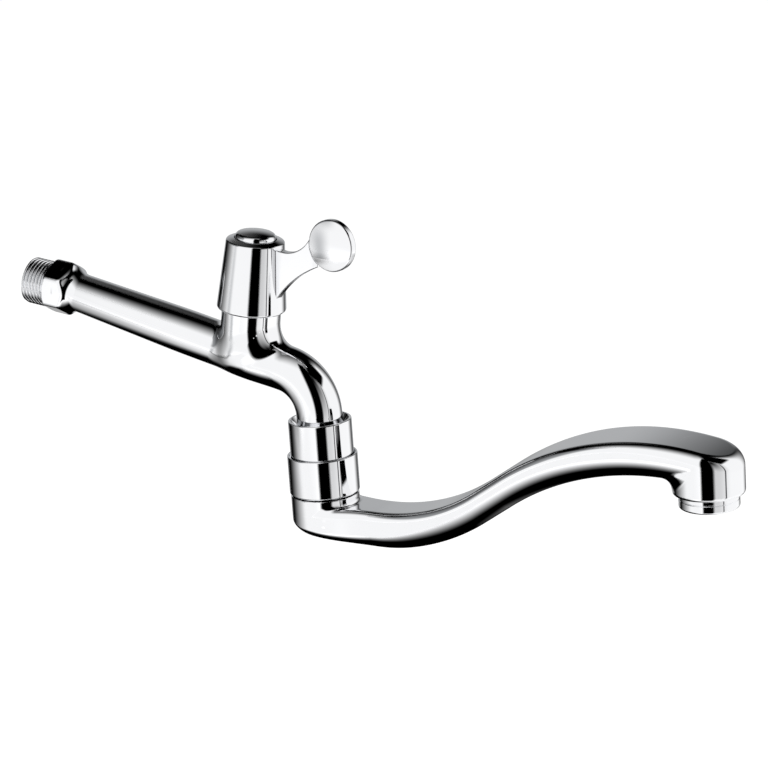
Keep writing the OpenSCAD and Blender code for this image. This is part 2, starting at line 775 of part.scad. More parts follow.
// side view of the blade: a slab between two hollows
module blade_outline() {
  foot = bell_z + blade_foot;
  difference() {
    translate([blade_near, foot]) square([blade_far - blade_near, paddle_z + blade_rise - foot]);
    translate([blade_top_x, blade_top_z]) circle(r = blade_top_r);
    translate([blade_under_x, blade_under_z]) circle(r = blade_under_r);
    translate([0, blade_top_z - blade_top_r]) square([blade_top_x, blade_top_r]);
  }
}

// plan of the blade: thick at the bell, thin at the paddle
module blade_plan() {
  mid = paddle_x - paddle_d / 2;
  tip_t = blade_t - 2 * blade_taper;
  polygon([[blade_near, -blade_root_t / 2], [mid, -blade_t / 2], [blade_far, -tip_t / 2],
    [blade_far, tip_t / 2], [mid, blade_t / 2], [blade_near, blade_root_t / 2]]);
}

module lever() {
  color(chrome) lever_frame() {
    difference() {
      intersection() {
        rotate([90, 0, 0]) linear_extrude(height = blade_root_t + 2 * cut, center = true) blade_outline();
        linear_extrude(height = blade_top_z) blade_plan();
      }
      translate([0, 0, bell_z]) bell_skin(screw_gap);
    }
    translate([cut, 0, 0]) intersection() {
      lever_tenon(0);
      translate([0, 0, bell_z]) cylinder(d = bell_foot_d, h = bell_h);
    }
    translate([paddle_x, 0, paddle_z]) rotate([90, 0, 0]) paddle();
  }
}

// round paddle with two domed faces
module paddle() {
  dome_r = (pow(paddle_d / 2, 2) + pow(paddle_dome, 2)) / (2 * paddle_dome);
  cylinder(d = paddle_d, h = paddle_edge, center = true);
  for (face = [0, 1]) mirror([0, 0, face]) translate([0, 0, paddle_edge / 2]) intersection() {
    translate([0, 0, -dome_r + paddle_dome]) sphere(r = dome_r);
    cylinder(d = paddle_d, h = paddle_dome + cut);
  }
}

module handle_screw() {
  head_z = web_top + stack_gap;
  color(steel) tower_frame() difference() {
    union() {
      translate([0, 0, head_z]) cylinder(d = screw_head_d, h = screw_head_h);
      translate([0, 0, spindle_top - screw_len]) cylinder(d = screw_d,
        h = head_z - spindle_top + screw_len);
    }
    translate([0, 0, head_z + screw_head_h - screw_key_depth])
      cylinder(d = screw_key / cos(hex_turn), h = screw_key_depth + cut, $fn = 6);
  }
}

module index_cap() {
  edge_top = bell_top + bell_crown + cap_rise;
  dome_r = (pow(cap_d / 2, 2) + pow(cap_dome, 2)) / (2 * cap_dome);
  color(chrome) tower_frame() {
    translate([0, 0, edge_top - cap_t]) cylinder(d = cap_d, h = cap_t);
    translate([0, 0, edge_top]) intersection() {
      translate([0, 0, -dome_r + cap_dome]) sphere(r = dome_r);
      cylinder(d = cap_d, h = cap_dome + cut);
    }
  }
}

// middle height of the arm at a distance from the swivel's axis
function arm_z(u) = u < rise_start ? dip_z
  : u < rise_end ? dip_z + rise_r - sqrt(pow(rise_r, 2) - pow(u - rise_start, 2))
  : u < crest_start ? rise_end_z + (u - rise_end) * tan(rise_angle)
  : crest_mid_z + sqrt(pow(crest_r, 2) - pow(u - crest_u, 2));

// smooth step from 0 to 1
function ease(t) = t <= 0 ? 0 : t >= 1 ? 1 : (1 - cos(180 * t)) / 2;

function arm_half(u) = base_r + (waist_w - base_r) * ease(u / waist_u)
  + (nose_r - waist_w) * ease((u - waist_u) / (nose_u - waist_u));
function depth_half(u) = (arm_depth + base_extra * (1 - ease(u / rise_end))) / 2;

// half section from the middle of the flat top round to the middle of the underside: distance out, height
function half_section(w, top, foot, edge, under) = concat(
  [for (k = [0:flat_steps - 1]) [(w - edge) * k / flat_steps, top]],
  [for (k = [0:edge_steps]) let (a = 90 * k / edge_steps)
    [w - edge + edge * sin(a), top - edge + edge * cos(a)]],
  [for (k = [1:under_steps]) let (a = 90 * k / under_steps) [w * cos(a), foot + under - under * sin(a)]]);

function arm_top(u) = arm_z(u) + depth_half(u);
function arm_foot(u) = arm_z(min(u, spout_reach)) - depth_half(u)
  + base_lift * pow(max(0, (lift_start - u) / (lift_start + base_r)), 2);
function under_at(u) = base_under + (under_round - base_under) * ease(u / rise_end);

function section_at(u, wall) = half_section(arm_half(u) - wall, arm_top(u) - wall, arm_foot(u) + wall,
  max(top_round - wall, inner_edge), under_at(u) - wall);

// full loop of one section: down the right side and up the left
function loop_at(u, wall) = let (s = section_at(u, wall), n = len(s)) concat(
  [for (k = [0:n - 1]) [u, s[k][0], s[k][1]]],
  [for (k = [n - 2:-1:1]) [u, -s[k][0], s[k][1]]]);

// one rib of a round end; side is 1 at the nose and -1 at the base
function rib_at(u, side, turn) = let (s = section_at(u, 0), n = len(s), top = s[0][1], foot = s[n - 1][1])
  [for (k = [1:n - 2]) let (reach = u + side * s[k][0] * sin(turn), low = arm_foot(reach))
    [reach, s[k][0] * cos(turn), low + (s[k][1] - foot) * (arm_top(reach) - low) / (top - foot)]];

// outer skin of the arm: loops from base to nose, closed by ribs at both ends
module arm_skin() {
  n = rib_points - 1;
  ring = 2 * n;
  loops = [for (i = [0:arm_steps]) loop_at(spout_reach * i / arm_steps, 0)];
  nose = [for (j = [1:rib_steps - 1]) rib_at(spout_reach, 1, 180 * j / rib_steps)];
  base = [for (j = [1:rib_steps - 1]) rib_at(0, -1, 180 * j / rib_steps)];
  nose_from = ring * (arm_steps + 1);
  base_from = nose_from + (n - 1) * (rib_steps - 1);
  points = concat([for (l = loops) each l], [for (r = nose) each r], [for (r = base) each r]);
  // index of point k on rib j, where the first and last ribs are the two sides of an end loop
  at = function (j, k, first, from) j == 0 || k == 0 || k == n ? first + k
    : j == rib_steps ? first + ring - k : from + (j - 1) * (n - 1) + k - 1;
  end = ring * arm_steps;
  front = [for (j = [0:rib_steps - 1], k = [0:n - 1])
    each quad(at(j, k, end, nose_from), at(j, k + 1, end, nose_from),
      at(j + 1, k + 1, end, nose_from), at(j + 1, k, end, nose_from))];
  back = [for (j = [0:rib_steps - 1], k = [0:n - 1])
    each quad(at(j + 1, k, 0, base_from), at(j + 1, k + 1, 0, base_from),
      at(j, k + 1, 0, base_from), at(j, k, 0, base_from))];
  polyhedron(points = points, faces = concat(tube_sides(arm_steps, ring), front, back));
}

// triangles between loops that follow each other
function tube_sides(steps, ring) = [for (i = [0:steps - 1], k = [0:ring - 1])
  let (a = i * ring + k, b = i * ring + (k + 1) % ring) each [[a, b, b + ring], [a, b + ring, a + ring]]];

// two triangles, or one where a corner is shared
function quad(a, b, c, d) = a == d ? [[a, b, c]] : b == c ? [[a, b, d]] : [[a, b, c], [a, c, d]];

// water way through the arm
module arm_way() {
  foot = rib_points - 1;
  ring = 2 * foot;
  steps = arm_steps / 2;
  loops = [for (i = [0:steps]) loop_at(spout_reach * i / steps, spout_wall)];
  near_cap = [for (k = [0:ring - 1]) (foot + ring - k) % ring];
  far_cap = [for (k = [0:ring - 1]) steps * ring + (foot + k) % ring];
  polyhedron(points = [for (l = loops) each l], faces = concat(tube_sides(steps, ring), [near_cap, far_cap]));
}

module spout() {
  socket_foot = spout_top - tail_root_len - socket_extra;
  color(chrome) swivel_frame() difference() {
    union() {
      arm_skin();
      translate([0, 0, dip_z + base_foot]) cylinder(r = base_r + base_skin,
        h = spout_top - dip_z - base_foot);
      translate([spout_reach, 0, 0]) nozzle_boss();
    }
    arm_way();
    translate([0, 0, socket_foot]) cylinder(d = tail_root_d + 2 * screw_gap,
      h = spout_top - socket_foot + cut);
    translate([spout_reach, 0, nozzle_z - cut]) cylinder(d = aerator_thread_d + 2 * screw_gap,
      h = aerator_thread_len + gasket_t + 3 * stack_gap + cut);
  }
}

// round boss round the outlet, inside the nose above and clear below
module nozzle_boss() {
  boss_r = nose_r - nozzle_step;
  boss_top = nozzle_z + nozzle_boss_h;
  rotate_extrude() polygon(concat([[0, nozzle_z]],
    corner([boss_r - nozzle_round, nozzle_z + nozzle_round], nozzle_round, -90, 0),
    [[boss_r, boss_top], [boss_r - nozzle_lead, boss_top + nozzle_lead], [0, boss_top + nozzle_lead]]));
}

module spout_tail() {
  root_foot = spout_top - tail_root_len;
  color(brass) swivel_frame() difference() {
    union() {
      translate([0, 0, root_foot]) cylinder(d = tail_root_d, h = tail_root_len - stack_gap);
      translate([0, 0, spout_top - cut]) cylinder(d = tail_d, h = -tail_top - spout_top + cut);
    }
    translate([0, 0, root_foot - cut]) cylinder(d = tail_bore_d, h = -tail_top - root_foot + 2 * cut);
    for (z = [tail_groove_1, tail_groove_2]) translate([0, 0, -z])
      shaft_groove(tail_d, tail_d - 2 * tail_ring_d + 2 * run_gap, tail_ring_d + 2 * stack_gap);
    translate([0, 0, -ring_top - ring_t / 2])
      shaft_groove(tail_d, tail_d - 2 * ring_groove, ring_t + 2 * stack_gap);
  }
}

module tail_o_rings() {
  color(rubber) swivel_frame() for (z = [tail_groove_1, tail_groove_2]) translate([0, 0, -z])
    o_ring((tail_d - tail_ring_d) / 2 + run_gap, tail_ring_d - 2 * run_gap);
}

module split_ring() {
  inner_d = tail_d - 2 * ring_groove + 2 * screw_gap;
  color(brass) swivel_frame() translate([0, 0, -ring_top - ring_t]) difference() {
    washer(ring_d, inner_d, ring_t);
    translate([-ring_d, -ring_split / 2, -cut]) cube([ring_d, ring_split, ring_t + 2 * cut]);
  }
}

// aerator
module aerator_shell() {
  foot = nozzle_z - aerator_show;
  rim_r = aerator_d / 2;
  color(chrome) nozzle_frame() difference() {
    union() {
      rotate_extrude() polygon(concat([[0, foot]],
        corner([rim_r - aerator_round, foot + aerator_round], aerator_round, -90, 0),
        [[rim_r, nozzle_z - stack_gap], [0, nozzle_z - stack_gap]]));
      translate([0, 0, nozzle_z - cut]) cylinder(d = aerator_thread_d, h = aerator_thread_len + cut);
    }
    translate([0, 0, foot + aerator_lip]) cylinder(d = aerator_bore_d,
      h = aerator_thread_len + aerator_show + cut);
    translate([0, 0, foot - cut]) cylinder(d = aerator_mouth_d, h = aerator_lip + 2 * cut);
  }
}

module aerator_core() {
  core_z = nozzle_z - aerator_show + aerator_lip + stack_gap;
  core_h = nozzle_z + aerator_thread_len - core_z - screen_t - 2 * stack_gap;
  core_d = aerator_bore_d - 4 * screw_gap;
  color(plastic) nozzle_frame() translate([0, 0, core_z]) difference() {
    cylinder(d = core_d, h = core_h);
    translate([0, 0, core_h / 2]) cylinder(d = core_d - 2 * core_wall, h = core_h);
    jets(jet_count, jet_ring_r, core_h);
    jets(inner_jet_count, inner_ring_r, core_h);
  }
}

// a ring of jet holes
module jets(count, ring_r, h) {
  for (k = [0:count - 1]) rotate([0, 0, 360 * k / count]) translate([ring_r, 0, -cut])
    cylinder(d = jet_d, h = h);
}

module aerator_screen() {
  color(steel) nozzle_frame() translate([0, 0, nozzle_z + aerator_thread_len - screen_t])
    cylinder(d = aerator_bore_d - 4 * screw_gap, h = screen_t);
}

module aerator_gasket() {
  color(rubber) nozzle_frame() translate([0, 0, nozzle_z + aerator_thread_len + stack_gap])
    washer(aerator_thread_d - 2 * stack_gap, gasket_bore_d, gasket_t);
}

body();
swivel_sleeve();
spout_nut();
slip_washer();
cartridge_body();
bonnet_o_ring();
stator_disc();
seat_seal();
spindle();
rotor_disc();
stem_o_rings();
circlip();
handle_bell();
lever();
handle_screw();
index_cap();
spout();
spout_tail();
tail_o_rings();
split_ring();
aerator_shell();
aerator_core();
aerator_screen();
aerator_gasket();
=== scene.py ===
"""Looks of the wall-mounted sink tap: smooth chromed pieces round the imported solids, and a plain studio."""
import json
import math

import bpy
import numpy as np
from mathutils import Matrix, Vector


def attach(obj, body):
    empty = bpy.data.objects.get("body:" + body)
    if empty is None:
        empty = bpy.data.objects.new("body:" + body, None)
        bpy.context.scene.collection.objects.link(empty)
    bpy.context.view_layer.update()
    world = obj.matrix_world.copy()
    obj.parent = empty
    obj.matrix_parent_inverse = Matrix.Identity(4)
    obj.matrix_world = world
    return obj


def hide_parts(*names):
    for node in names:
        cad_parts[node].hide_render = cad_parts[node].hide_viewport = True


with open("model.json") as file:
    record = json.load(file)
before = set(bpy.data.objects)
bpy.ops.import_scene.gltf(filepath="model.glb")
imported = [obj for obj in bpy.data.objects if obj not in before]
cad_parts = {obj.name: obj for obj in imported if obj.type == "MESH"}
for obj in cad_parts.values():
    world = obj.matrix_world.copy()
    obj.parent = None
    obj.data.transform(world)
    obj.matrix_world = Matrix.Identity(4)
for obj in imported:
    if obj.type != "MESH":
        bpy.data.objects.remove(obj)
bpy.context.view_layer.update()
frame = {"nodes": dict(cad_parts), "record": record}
MM = 0.001
TINY = 1e-6
SMOOTH = -1.0                   # stands for the round of a smooth point in a lathe profile

# Sizes are in millimetres, and each surface lies within about a millimetre of the solid it stands for.

# inlet thread and its bore
THREAD_R = 10.4775
THREAD_LEN = 12.0
THREAD_PITCH = 1.814
THREAD_DEPTH = 1.1
THREAD_CHAMFER = 0.4
THREAD_SHARPNESS = 1.6
THREAD_RUNOUT = (-0.2, -1.0)    # along X: the grooves grow from nothing to full depth between these places
THREAD_OVERLAP = 0.3            # how far the thread's skin goes into the boss
BORE_R = 6.5
BORE_LEN = 18.0
BORE_EDGE_ROUND = 0.4
CORE_GAP = 0.2                  # between the grooves and the core that holds the bore
CORE_FLOOR = 1.0

# wrench boss
HEX_AF = 22.0
HEX_ROUND_R = 12.6
HEX_LEN = 9.2
HEX_CONE = math.radians(52.0)
HEX_CONE_LEN = 8.0
HEX_CHAMFER = 0.9
HEX_CORNER_BLEND = 0.8
HEX_ROUND_BLEND = 0.5
HEX_CONE_BLEND = 1.2
HEX_CHAMFER_BLEND = 0.5
HEX_FACE_BLEND = 0.3
BOSS_FILLET = 2.8

# tapered tube
TUBE_BEND_X = 8.0
TUBE_SLOPE = math.radians(6.0)
TUBE_START_R = 8.6
TUBE_END_R = 10.6
TUBE_EASE = 40.0                # stretch before the tower in which the tube takes on the neck's radius
TUBE_FLARE = 15.0               # stretch before the tower in which its sides widen to the tower
TUBE_FLARE_END = 1.5
TUBE_OVERLAP = 1.5

# valve tower
TOWER_X = 103.0
TOWER_R = 12.9
TOWER_TOP = 16.0
TOWER_ROUND_Z = -5.6

# bent neck
NECK_R = 10.0
NECK_RUN = 19.3
NECK_FLARE_START = 2.0
NECK_BEND_R = 20.0
NECK_END_LEN = 2.1
NECK_INSERT = 11.0
SWIVEL_TILT = math.radians(9.0)

# blend between the tower and the pipes: a crease underneath, softer at the sides and on top of the neck
BLEND_BOTTOM = 0.3
BLEND_SIDE = 2.2
BLEND_SIDE_Z = (-8.0, -2.0)     # heights over the tube's axis
BLEND_TOP = 1.5
BLEND_TOP_NECK = 4.0            # added on the neck's side
BLEND_TOP_Z = (-0.5, 9.0)
BLEND_NECK_X = (-6.0, 6.0)      # places along X, from the tower's axis

# swivel collar, down from its rim
COLLAR_R = 13.8
COLLAR_FOOT = -18.8
COLLAR_RIM_R = 12.7
COLLAR_RIM_ROUND = 0.5
COLLAR_MOUTH_R = 10.8
COLLAR_MOUTH_Z = -3.0
COLLAR_MOUTH_ROUND = 0.25
NECK_FIT_R = 10.09
NECK_FIT_Z = -11.1
TAIL_FIT_R = 8.55
SPIGOT_R = 12.6
SPIGOT_FOOT = -26.0

# spout collar, down from the same rim
NUT_R = 15.3
NUT_TOP = -15.5
NUT_TOP_ROUND = 0.45
NUT_CHAMFER_R = 14.4
NUT_CHAMFER_Z = -32.1
NUT_CHAMFER_ROUND = 0.4
NUT_FOOT = -33.0
NUT_RECESS_R = 14.4
NUT_RECESS_Z = -18.9
NUT_RECESS_ROUND = 0.25
NUT_FIT_R = 12.64
NUT_FLOOR_Z = -30.1
NUT_HOLE_R = 9.0
NUT_HOLE_ROUND = 0.3

# spout: u runs from the swivel's axis along the arm
SPOUT_REACH = 179.0
SPOUT_TOP = -33.35
DIP_Z = -46.3
RISE_START = 28.1
RISE_R = 90.0
RISE_ANGLE = math.radians(33.3)
RISE_RUN = 13.6
CREST_R = 118.0
ARM_DEPTH = 16.8
ARM_TOP_ROUND = 3.5
ARM_UNDER_ROUND = 11.0
WAIST_HALF = 10.7
WAIST_U = 27.0
BASE_R = 14.9
BASE_EXTRA_DEPTH = 1.8
BASE_TOP_ROUND = 0.3
BASE_UNDER_ROUND = 6.0
BASE_LIFT = 6.0
BASE_LIFT_START = 45.0
BASE_FOOT = 3.0
BASE_TUCK = 0.3                 # the base draws in by this much over its lowest stretch
BASE_TUCK_HEIGHT = 3.0
BASE_FILLET = 1.6
BASE_FILLET_U = (1.0, 7.0)
NOSE_U = 135.0
NOSE_R = 14.8
NOSE_TOP_ROUND = 4.5
NOZZLE_DROP = 11.5
NOZZLE_ROUND = 1.5
NOZZLE_FILLET = 4.5
NOZZLE_FILLET_RUN = 9.0
NOZZLE_FILLET_Z = (2.0, -3.0)   # heights from the arm's middle at the nozzle
SPOUT_CREASE = 0.02             # least blend, where surfaces meet in an edge

# aerator ring, from the nozzle's foot
RING_R = 12.4
RING_TOP = -0.1
RING_TOP_ROUND = 0.25
RING_FOOT = -5.7
RING_FOOT_ROUND = 1.0
RING_GROOVE_R = 12.1
RING_GROOVE_TOP = -1.8
RING_GROOVE_FLOOR_TOP = -1.95
RING_GROOVE_FLOOR_FOOT = -2.15
RING_GROOVE_FOOT = -2.3
RING_GROOVE_EDGE_ROUND = 0.15
RING_GROOVE_FLOOR_ROUND = 0.1
RING_NECK_R = 11.0
RING_NECK_TOP = 7.5
RING_HOLE_R = 9.7
RING_LIP_R = 8.8
RING_LIP_Z = -4.5
RING_LIP_ROUND = 0.2
RING_MOUTH_ROUND = 0.3

# handle bell, up from its foot, with a well for the cap and a hub for the spindle
BELL_Z = 11.2
BELL_H = 31.7
BELL_FOOT_R = 15.2
BELL_FOOT_ROUND = 1.2
BELL_TOP_R = 12.7
BELL_SHOULDER_Z = BELL_H - 0.85
BELL_SHOULDER_ROUND = 0.9
WELL_R = 9.2
WELL_TOP = BELL_H + 0.2
WELL_TOP_ROUND = 0.25
WELL_FLOOR_Z = 26.9
SCREW_HOLE_R = 2.3
BELL_ROOF_Z = 23.0
SPINDLE_FIT_R = 4.04
HUB_R = 6.5
HUB_FOOT = 17.0
BELL_HOLLOW_R = 11.6
BELL_STEP_Z = 9.0
BELL_MOUTH_R = 13.3
BELL_MOUTH_ROUND = 0.3

# cap in the bell
CAP_R = 8.85
CAP_EDGE_Z = BELL_H + 2.3
CAP_EDGE_DROP = 0.1
CAP_EDGE_ROUND = 1.9
CAP_RIM = 0.9
CAP_DOME = 1.0
CAP_DEPTH = 2.9
CAP_FOOT_ROUND = 0.2
CAP_DOME_STEPS = 24

# lever: x runs out from the tower's axis, z up from the inlet's axis
LEVER_YAW = math.radians(-6.0)
PADDLE_X = 40.1
PADDLE_Z = 48.6
PADDLE_R = 11.2
PADDLE_EDGE = 1.7
PADDLE_EDGE_ROUND = 0.7
PADDLE_DOME = 0.95
PADDLE_DOME_LIMIT = 1.2         # in paddle radii, past which the dome's formula isn't followed
UPPER_EDGE_X = 15.5             # centres and radii of the blade's two hollow edges
UPPER_EDGE_Z = 55.0
UPPER_EDGE_R = 14.5
LOWER_EDGE_X = 57.2
LOWER_EDGE_Z = -6.6
LOWER_EDGE_R = 50.0
BLADE_X = (11.9, 34.1)
BLADE_Z = (15.2, PADDLE_Z + 1.6)
BLADE_HALF = 2.1
BLADE_THINNING = 0.9
BLADE_THINNING_X = (14.0, 32.0)
BLADE_EDGE_ROUND = 0.5
BLADE_BLEND = 0.4

# grids of the meshed fields: lowest corner, highest corner and step
BODY_GRID = ((-0.8, -14.5, -44.0), (157.0, 14.5, 18.0), 0.6)
SPOUT_GRID = ((-16.5, -16.5, -58.0), (196.0, 16.5, 7.5), 0.6)
LEVER_GRID = ((10.5, -5.5, 13.0), (53.0, 5.5, 62.0), 0.28)

# places that follow from the sizes
TUBE_DIR = np.array([math.cos(TUBE_SLOPE), 0.0, -math.sin(TUBE_SLOPE)])
TUBE_UP = np.array([math.sin(TUBE_SLOPE), 0.0, math.cos(TUBE_SLOPE)])
TUBE_START = np.array([TUBE_BEND_X, 0.0, 0.0])
TUBE_LEN = (TOWER_X - TUBE_BEND_X) / math.cos(TUBE_SLOPE)
TOWER_START = np.array([TOWER_X, 0.0, 0.0])
NECK_START = np.array([TOWER_X, 0.0, -(TOWER_X - TUBE_BEND_X) * math.tan(TUBE_SLOPE)])
BEND_START = NECK_START + NECK_RUN * TUBE_DIR
BEND_MID = BEND_START + NECK_BEND_R * np.array([-math.sin(TUBE_SLOPE), 0.0, -math.cos(TUBE_SLOPE)])
SWIVEL_X = np.array([math.cos(SWIVEL_TILT), 0.0, math.sin(SWIVEL_TILT)])
SWIVEL_Z = np.array([-math.sin(SWIVEL_TILT), 0.0, math.cos(SWIVEL_TILT)])
BEND_END = BEND_MID + NECK_BEND_R * SWIVEL_X
RIM = BEND_END - NECK_END_LEN * SWIVEL_Z
RISE_END = RISE_START + RISE_R * math.sin(RISE_ANGLE)
RISE_END_Z = DIP_Z + RISE_R * (1 - math.cos(RISE_ANGLE))
CREST_START = RISE_END + RISE_RUN
CREST_START_Z = RISE_END_Z + RISE_RUN * math.tan(RISE_ANGLE)
CREST_U = CREST_START + CREST_R * math.sin(RISE_ANGLE)
CREST_MID_Z = CREST_START_Z - CREST_R * math.cos(RISE_ANGLE)
NOSE_Z = CREST_MID_Z + math.sqrt(CREST_R ** 2 - (SPOUT_REACH - CREST_U) ** 2)

# frames: a turn, whose columns are the local axes in the row frame, and an origin
INLET_FRAME = (np.array([[0.0, 0.0, 1.0], [1.0, 0.0, 0.0], [0.0, 1.0, 0.0]]), np.zeros(3))
BELL_FRAME = (np.eye(3), TOWER_START + np.array([0.0, 0.0, BELL_Z]))
LEVER_FRAME = (np.array([[math.cos(LEVER_YAW), -math.sin(LEVER_YAW), 0.0],
                         [math.sin(LEVER_YAW), math.cos(LEVER_YAW), 0.0],
                         [0.0, 0.0, 1.0]]), TOWER_START)
SWIVEL_FRAME = (np.stack([SWIVEL_X, np.array([0.0, 1.0, 0.0]), SWIVEL_Z], 1), RIM)
NOZZLE_FRAME = (SWIVEL_FRAME[0], RIM + SPOUT_REACH * SWIVEL_X + (NOSE_Z - NOZZLE_DROP) * SWIVEL_Z)


# meshes are (points, faces, corner normals)
def placed(mesh, place):
    """A mesh moved from a local frame to the row frame."""
    points, faces, normals = mesh
    turn, origin = place
    return points @ turn.T + origin, faces, normals @ turn.T


def joined(*meshes):
    """Several meshes as one."""
    points, faces, normals = [], [], []
    shift = 0
    for some_points, some_faces, some_normals in meshes:
        points.append(some_points)
        faces += [[i + shift for i in face] for face in some_faces]
        normals.append(some_normals)
        shift += len(some_points)
    return np.concatenate(points), faces, np.concatenate(normals)


def piece(name, mesh, body, node, material):
    """A smooth object that stands for a CAD node."""
    points, faces, normals = mesh
    data = bpy.data.meshes.new(name)
    data.from_pydata((points * MM).tolist(), [], faces)
    data.shade_smooth()
    data.normals_split_custom_set(normals.tolist())
    data.materials.append(material)
    obj = bpy.data.objects.new(name, data)
    bpy.context.scene.collection.objects.link(obj)
    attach(obj, body)
    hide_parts(node)


def rounded(corners, arc_steps=6, straight=1e-4):
    """A closed profile of (r, z, round) corners, walked with the solid on the left.

    A point whose round is SMOOTH has one normal. Gives the profile's points and, for each, the outward normals
    of the side before it and the side after it.
    """
    at = [np.array(c[:2]) for c in corners]
    out = []
    for i, (_, _, size) in enumerate(corners):
        before = at[i] - at[i - 1]
        after = at[(i + 1) % len(at)] - at[i]
        before = before / np.linalg.norm(before)
        after = after / np.linalg.norm(after)
        n_in = np.array([before[1], -before[0]])
        n_out = np.array([after[1], -after[0]])
        turn = math.atan2(before[0] * after[1] - before[1] * after[0], before @ after)
        if size == SMOOTH:
            mean = (n_in + n_out) / np.linalg.norm(n_in + n_out)
            out.append((at[i], mean, mean))
            continue
        if size == 0 or abs(turn) < straight:
            out.append((at[i], n_in, n_out))
            continue
        start = at[i] - before * size * abs(math.tan(turn / 2))
        side = math.copysign(1.0, turn)
        middle = start - side * n_in * size
        for k in range(arc_steps + 1):
            a = turn * k / arc_steps
            normal = np.array([n_in[0] * math.cos(a) - n_in[1] * math.sin(a),
                               n_in[0] * math.sin(a) + n_in[1] * math.cos(a)])
            out.append((middle + side * normal * size, normal, normal))
    return out


def lathe(corners, segments=144):
    """A solid of revolution round local Z from a profile of (r, z, round) corners."""
    profile = rounded(corners)
    on_axis = [r < TINY for (r, _), _, _ in profile]
    angle = np.arange(segments) * 2 * math.pi / segments
    ring = np.stack([np.cos(angle), np.sin(angle)], 1)
    points, first = [], []
    for i, ((r, z), _, _) in enumerate(profile):
        first.append(len(points))
        if on_axis[i]:
            points.append((0.0, 0.0, z))
        else:
            points += [(r * c, r * s, z) for c, s in ring]

    def corner(i, k, normal):
        """Number and normal of place k on ring i. On the axis there is one point, with a normal along it."""
        if on_axis[i]:
            return first[i], (0.0, 0.0, math.copysign(1.0, normal[1]))
        return first[i] + k, (normal[0] * ring[k][0], normal[0] * ring[k][1], normal[1])

    faces, normals = [], []
    for i, (_, _, low_normal) in enumerate(profile):
        j = (i + 1) % len(profile)
        if on_axis[i] and on_axis[j]:
            continue
        high_normal = profile[j][1]
        for k in range(segments):
            m = (k + 1) % segments
            face = [corner(i, k, low_normal), corner(i, m, low_normal)]
            face += [corner(j, m, high_normal), corner(j, k, high_normal)]
            if on_axis[i]:
                face.pop(0)
            if on_axis[j]:
                face.pop()
            faces.append([c[0] for c in face])
            normals += [c[1] for c in face]
    return np.array(points), faces, np.array(normals)


# signed fields: negative inside a solid, positive outside
def smooth_min(a, b, k):
    """Union of two fields with a blend of width k."""
    h = np.clip(0.5 + 0.5 * (b - a) / k, 0.0, 1.0)
    return b + (a - b) * h - k * h * (1.0 - h)


def smooth_max(a, b, k):
    """Intersection of two fields with a blend of width k."""
    return -smooth_min(-a, -b, k)


def round_max(a, b, r):
    """Intersection of two fields with a round edge of radius r."""
    return np.minimum(np.maximum(a, b), -r) + np.hypot(np.maximum(a + r, 0.0), np.maximum(b + r, 0.0))


def smooth_step(low, high, x):
    """0 at low, 1 at high, and a smooth rise between them."""
    t = np.clip((x - low) / (high - low), 0.0, 1.0)
    return t * t * (3.0 - 2.0 * t)


def slope_of(field, points, step=0.01):
    """Gradient of a field."""
    out = np.empty_like(points)
    for i in range(3):
        move = np.zeros(3)
        move[i] = step
        out[:, i] = (field(points + move) - field(points - move)) / (2 * step)
    return out


def onto(field, points, rounds, least_slope_squared=0.05, longest_move=0.5):
    """Points moved onto the zero surface of a field, with bounds so that none is thrown far off."""
    for _ in range(rounds):
        value = field(points)
        slope = slope_of(field, points)
        move = (value / np.maximum((slope ** 2).sum(1), least_slope_squared))[:, None] * slope
        size = np.linalg.norm(move, axis=1, keepdims=True)
        points = points - move * np.minimum(1.0, longest_move / np.maximum(size, TINY))
    return points


# mesh of a field's zero surface, with one point in each grid cell that it crosses
CELL_CORNERS = [(a, b, c) for a in (0, 1) for b in (0, 1) for c in (0, 1)]


def sampled(field, axes):
    """A field's values on a grid, worked out one plane at a time."""
    shape = tuple(len(a) for a in axes)
    value = np.empty(shape)
    plane = np.stack(np.meshgrid(axes[1], axes[2], indexing="ij"), -1).reshape(-1, 2)
    for i, x in enumerate(axes[0]):
        value[i] = field(np.column_stack([np.full(len(plane), x), plane])).reshape(shape[1:])
    return value


def crossed_cells(inside):
    """Which grid cells have corners on both sides of the surface."""
    cell = tuple(n - 1 for n in inside.shape)
    count = np.zeros(cell, int)
    for a, b, c in CELL_CORNERS:
        count += inside[a:a + cell[0], b:b + cell[1], c:c + cell[2]]
    return (count > 0) & (count < len(CELL_CORNERS))


def crossing_means(value, cells):
    """For each cell, the mean of the places where the surface crosses its edges, in grid steps."""
    total = np.zeros((len(cells), 3))
    weight = np.zeros(len(cells))
    for a in CELL_CORNERS:
        for axis in range(3):
            if a[axis]:
                continue
            b = list(a)
            b[axis] = 1
            value_a = value[tuple((cells + a).T)]
            value_b = value[tuple((cells + b).T)]
            hit = (value_a < 0) != (value_b < 0)
            spot = cells + np.array(a, float)
            spot[:, axis] += np.where(hit, value_a / np.where(hit, value_a - value_b, 1.0), 0.0)
            total[hit] += spot[hit]
            weight[hit] += 1
    return total / weight[:, None]


def crossing_faces(inside, index):
    """One outward quad round each grid edge that the surface crosses, from the points' numbers."""
    faces = []
    for axis in range(3):
        b = (axis + 1) % 3
        c = (axis + 2) % 3
        head = [slice(None)] * 3
        tail = [slice(None)] * 3
        head[axis] = slice(0, -1)
        tail[axis] = slice(1, None)
        spots = np.argwhere(inside[tuple(head)] != inside[tuple(tail)])
        corner = []
        for step_b, step_c in ((-1, -1), (0, -1), (0, 0), (-1, 0)):
            cell = spots.copy()
            cell[:, b] += step_b
            cell[:, c] += step_c
            corner.append(index[tuple(cell.T)])
        quad = np.stack(corner, 1)
        entering = ~inside[tuple(spots.T)]
        quad[entering] = quad[entering][:, ::-1]
        faces.append(quad)
    return np.concatenate(faces)


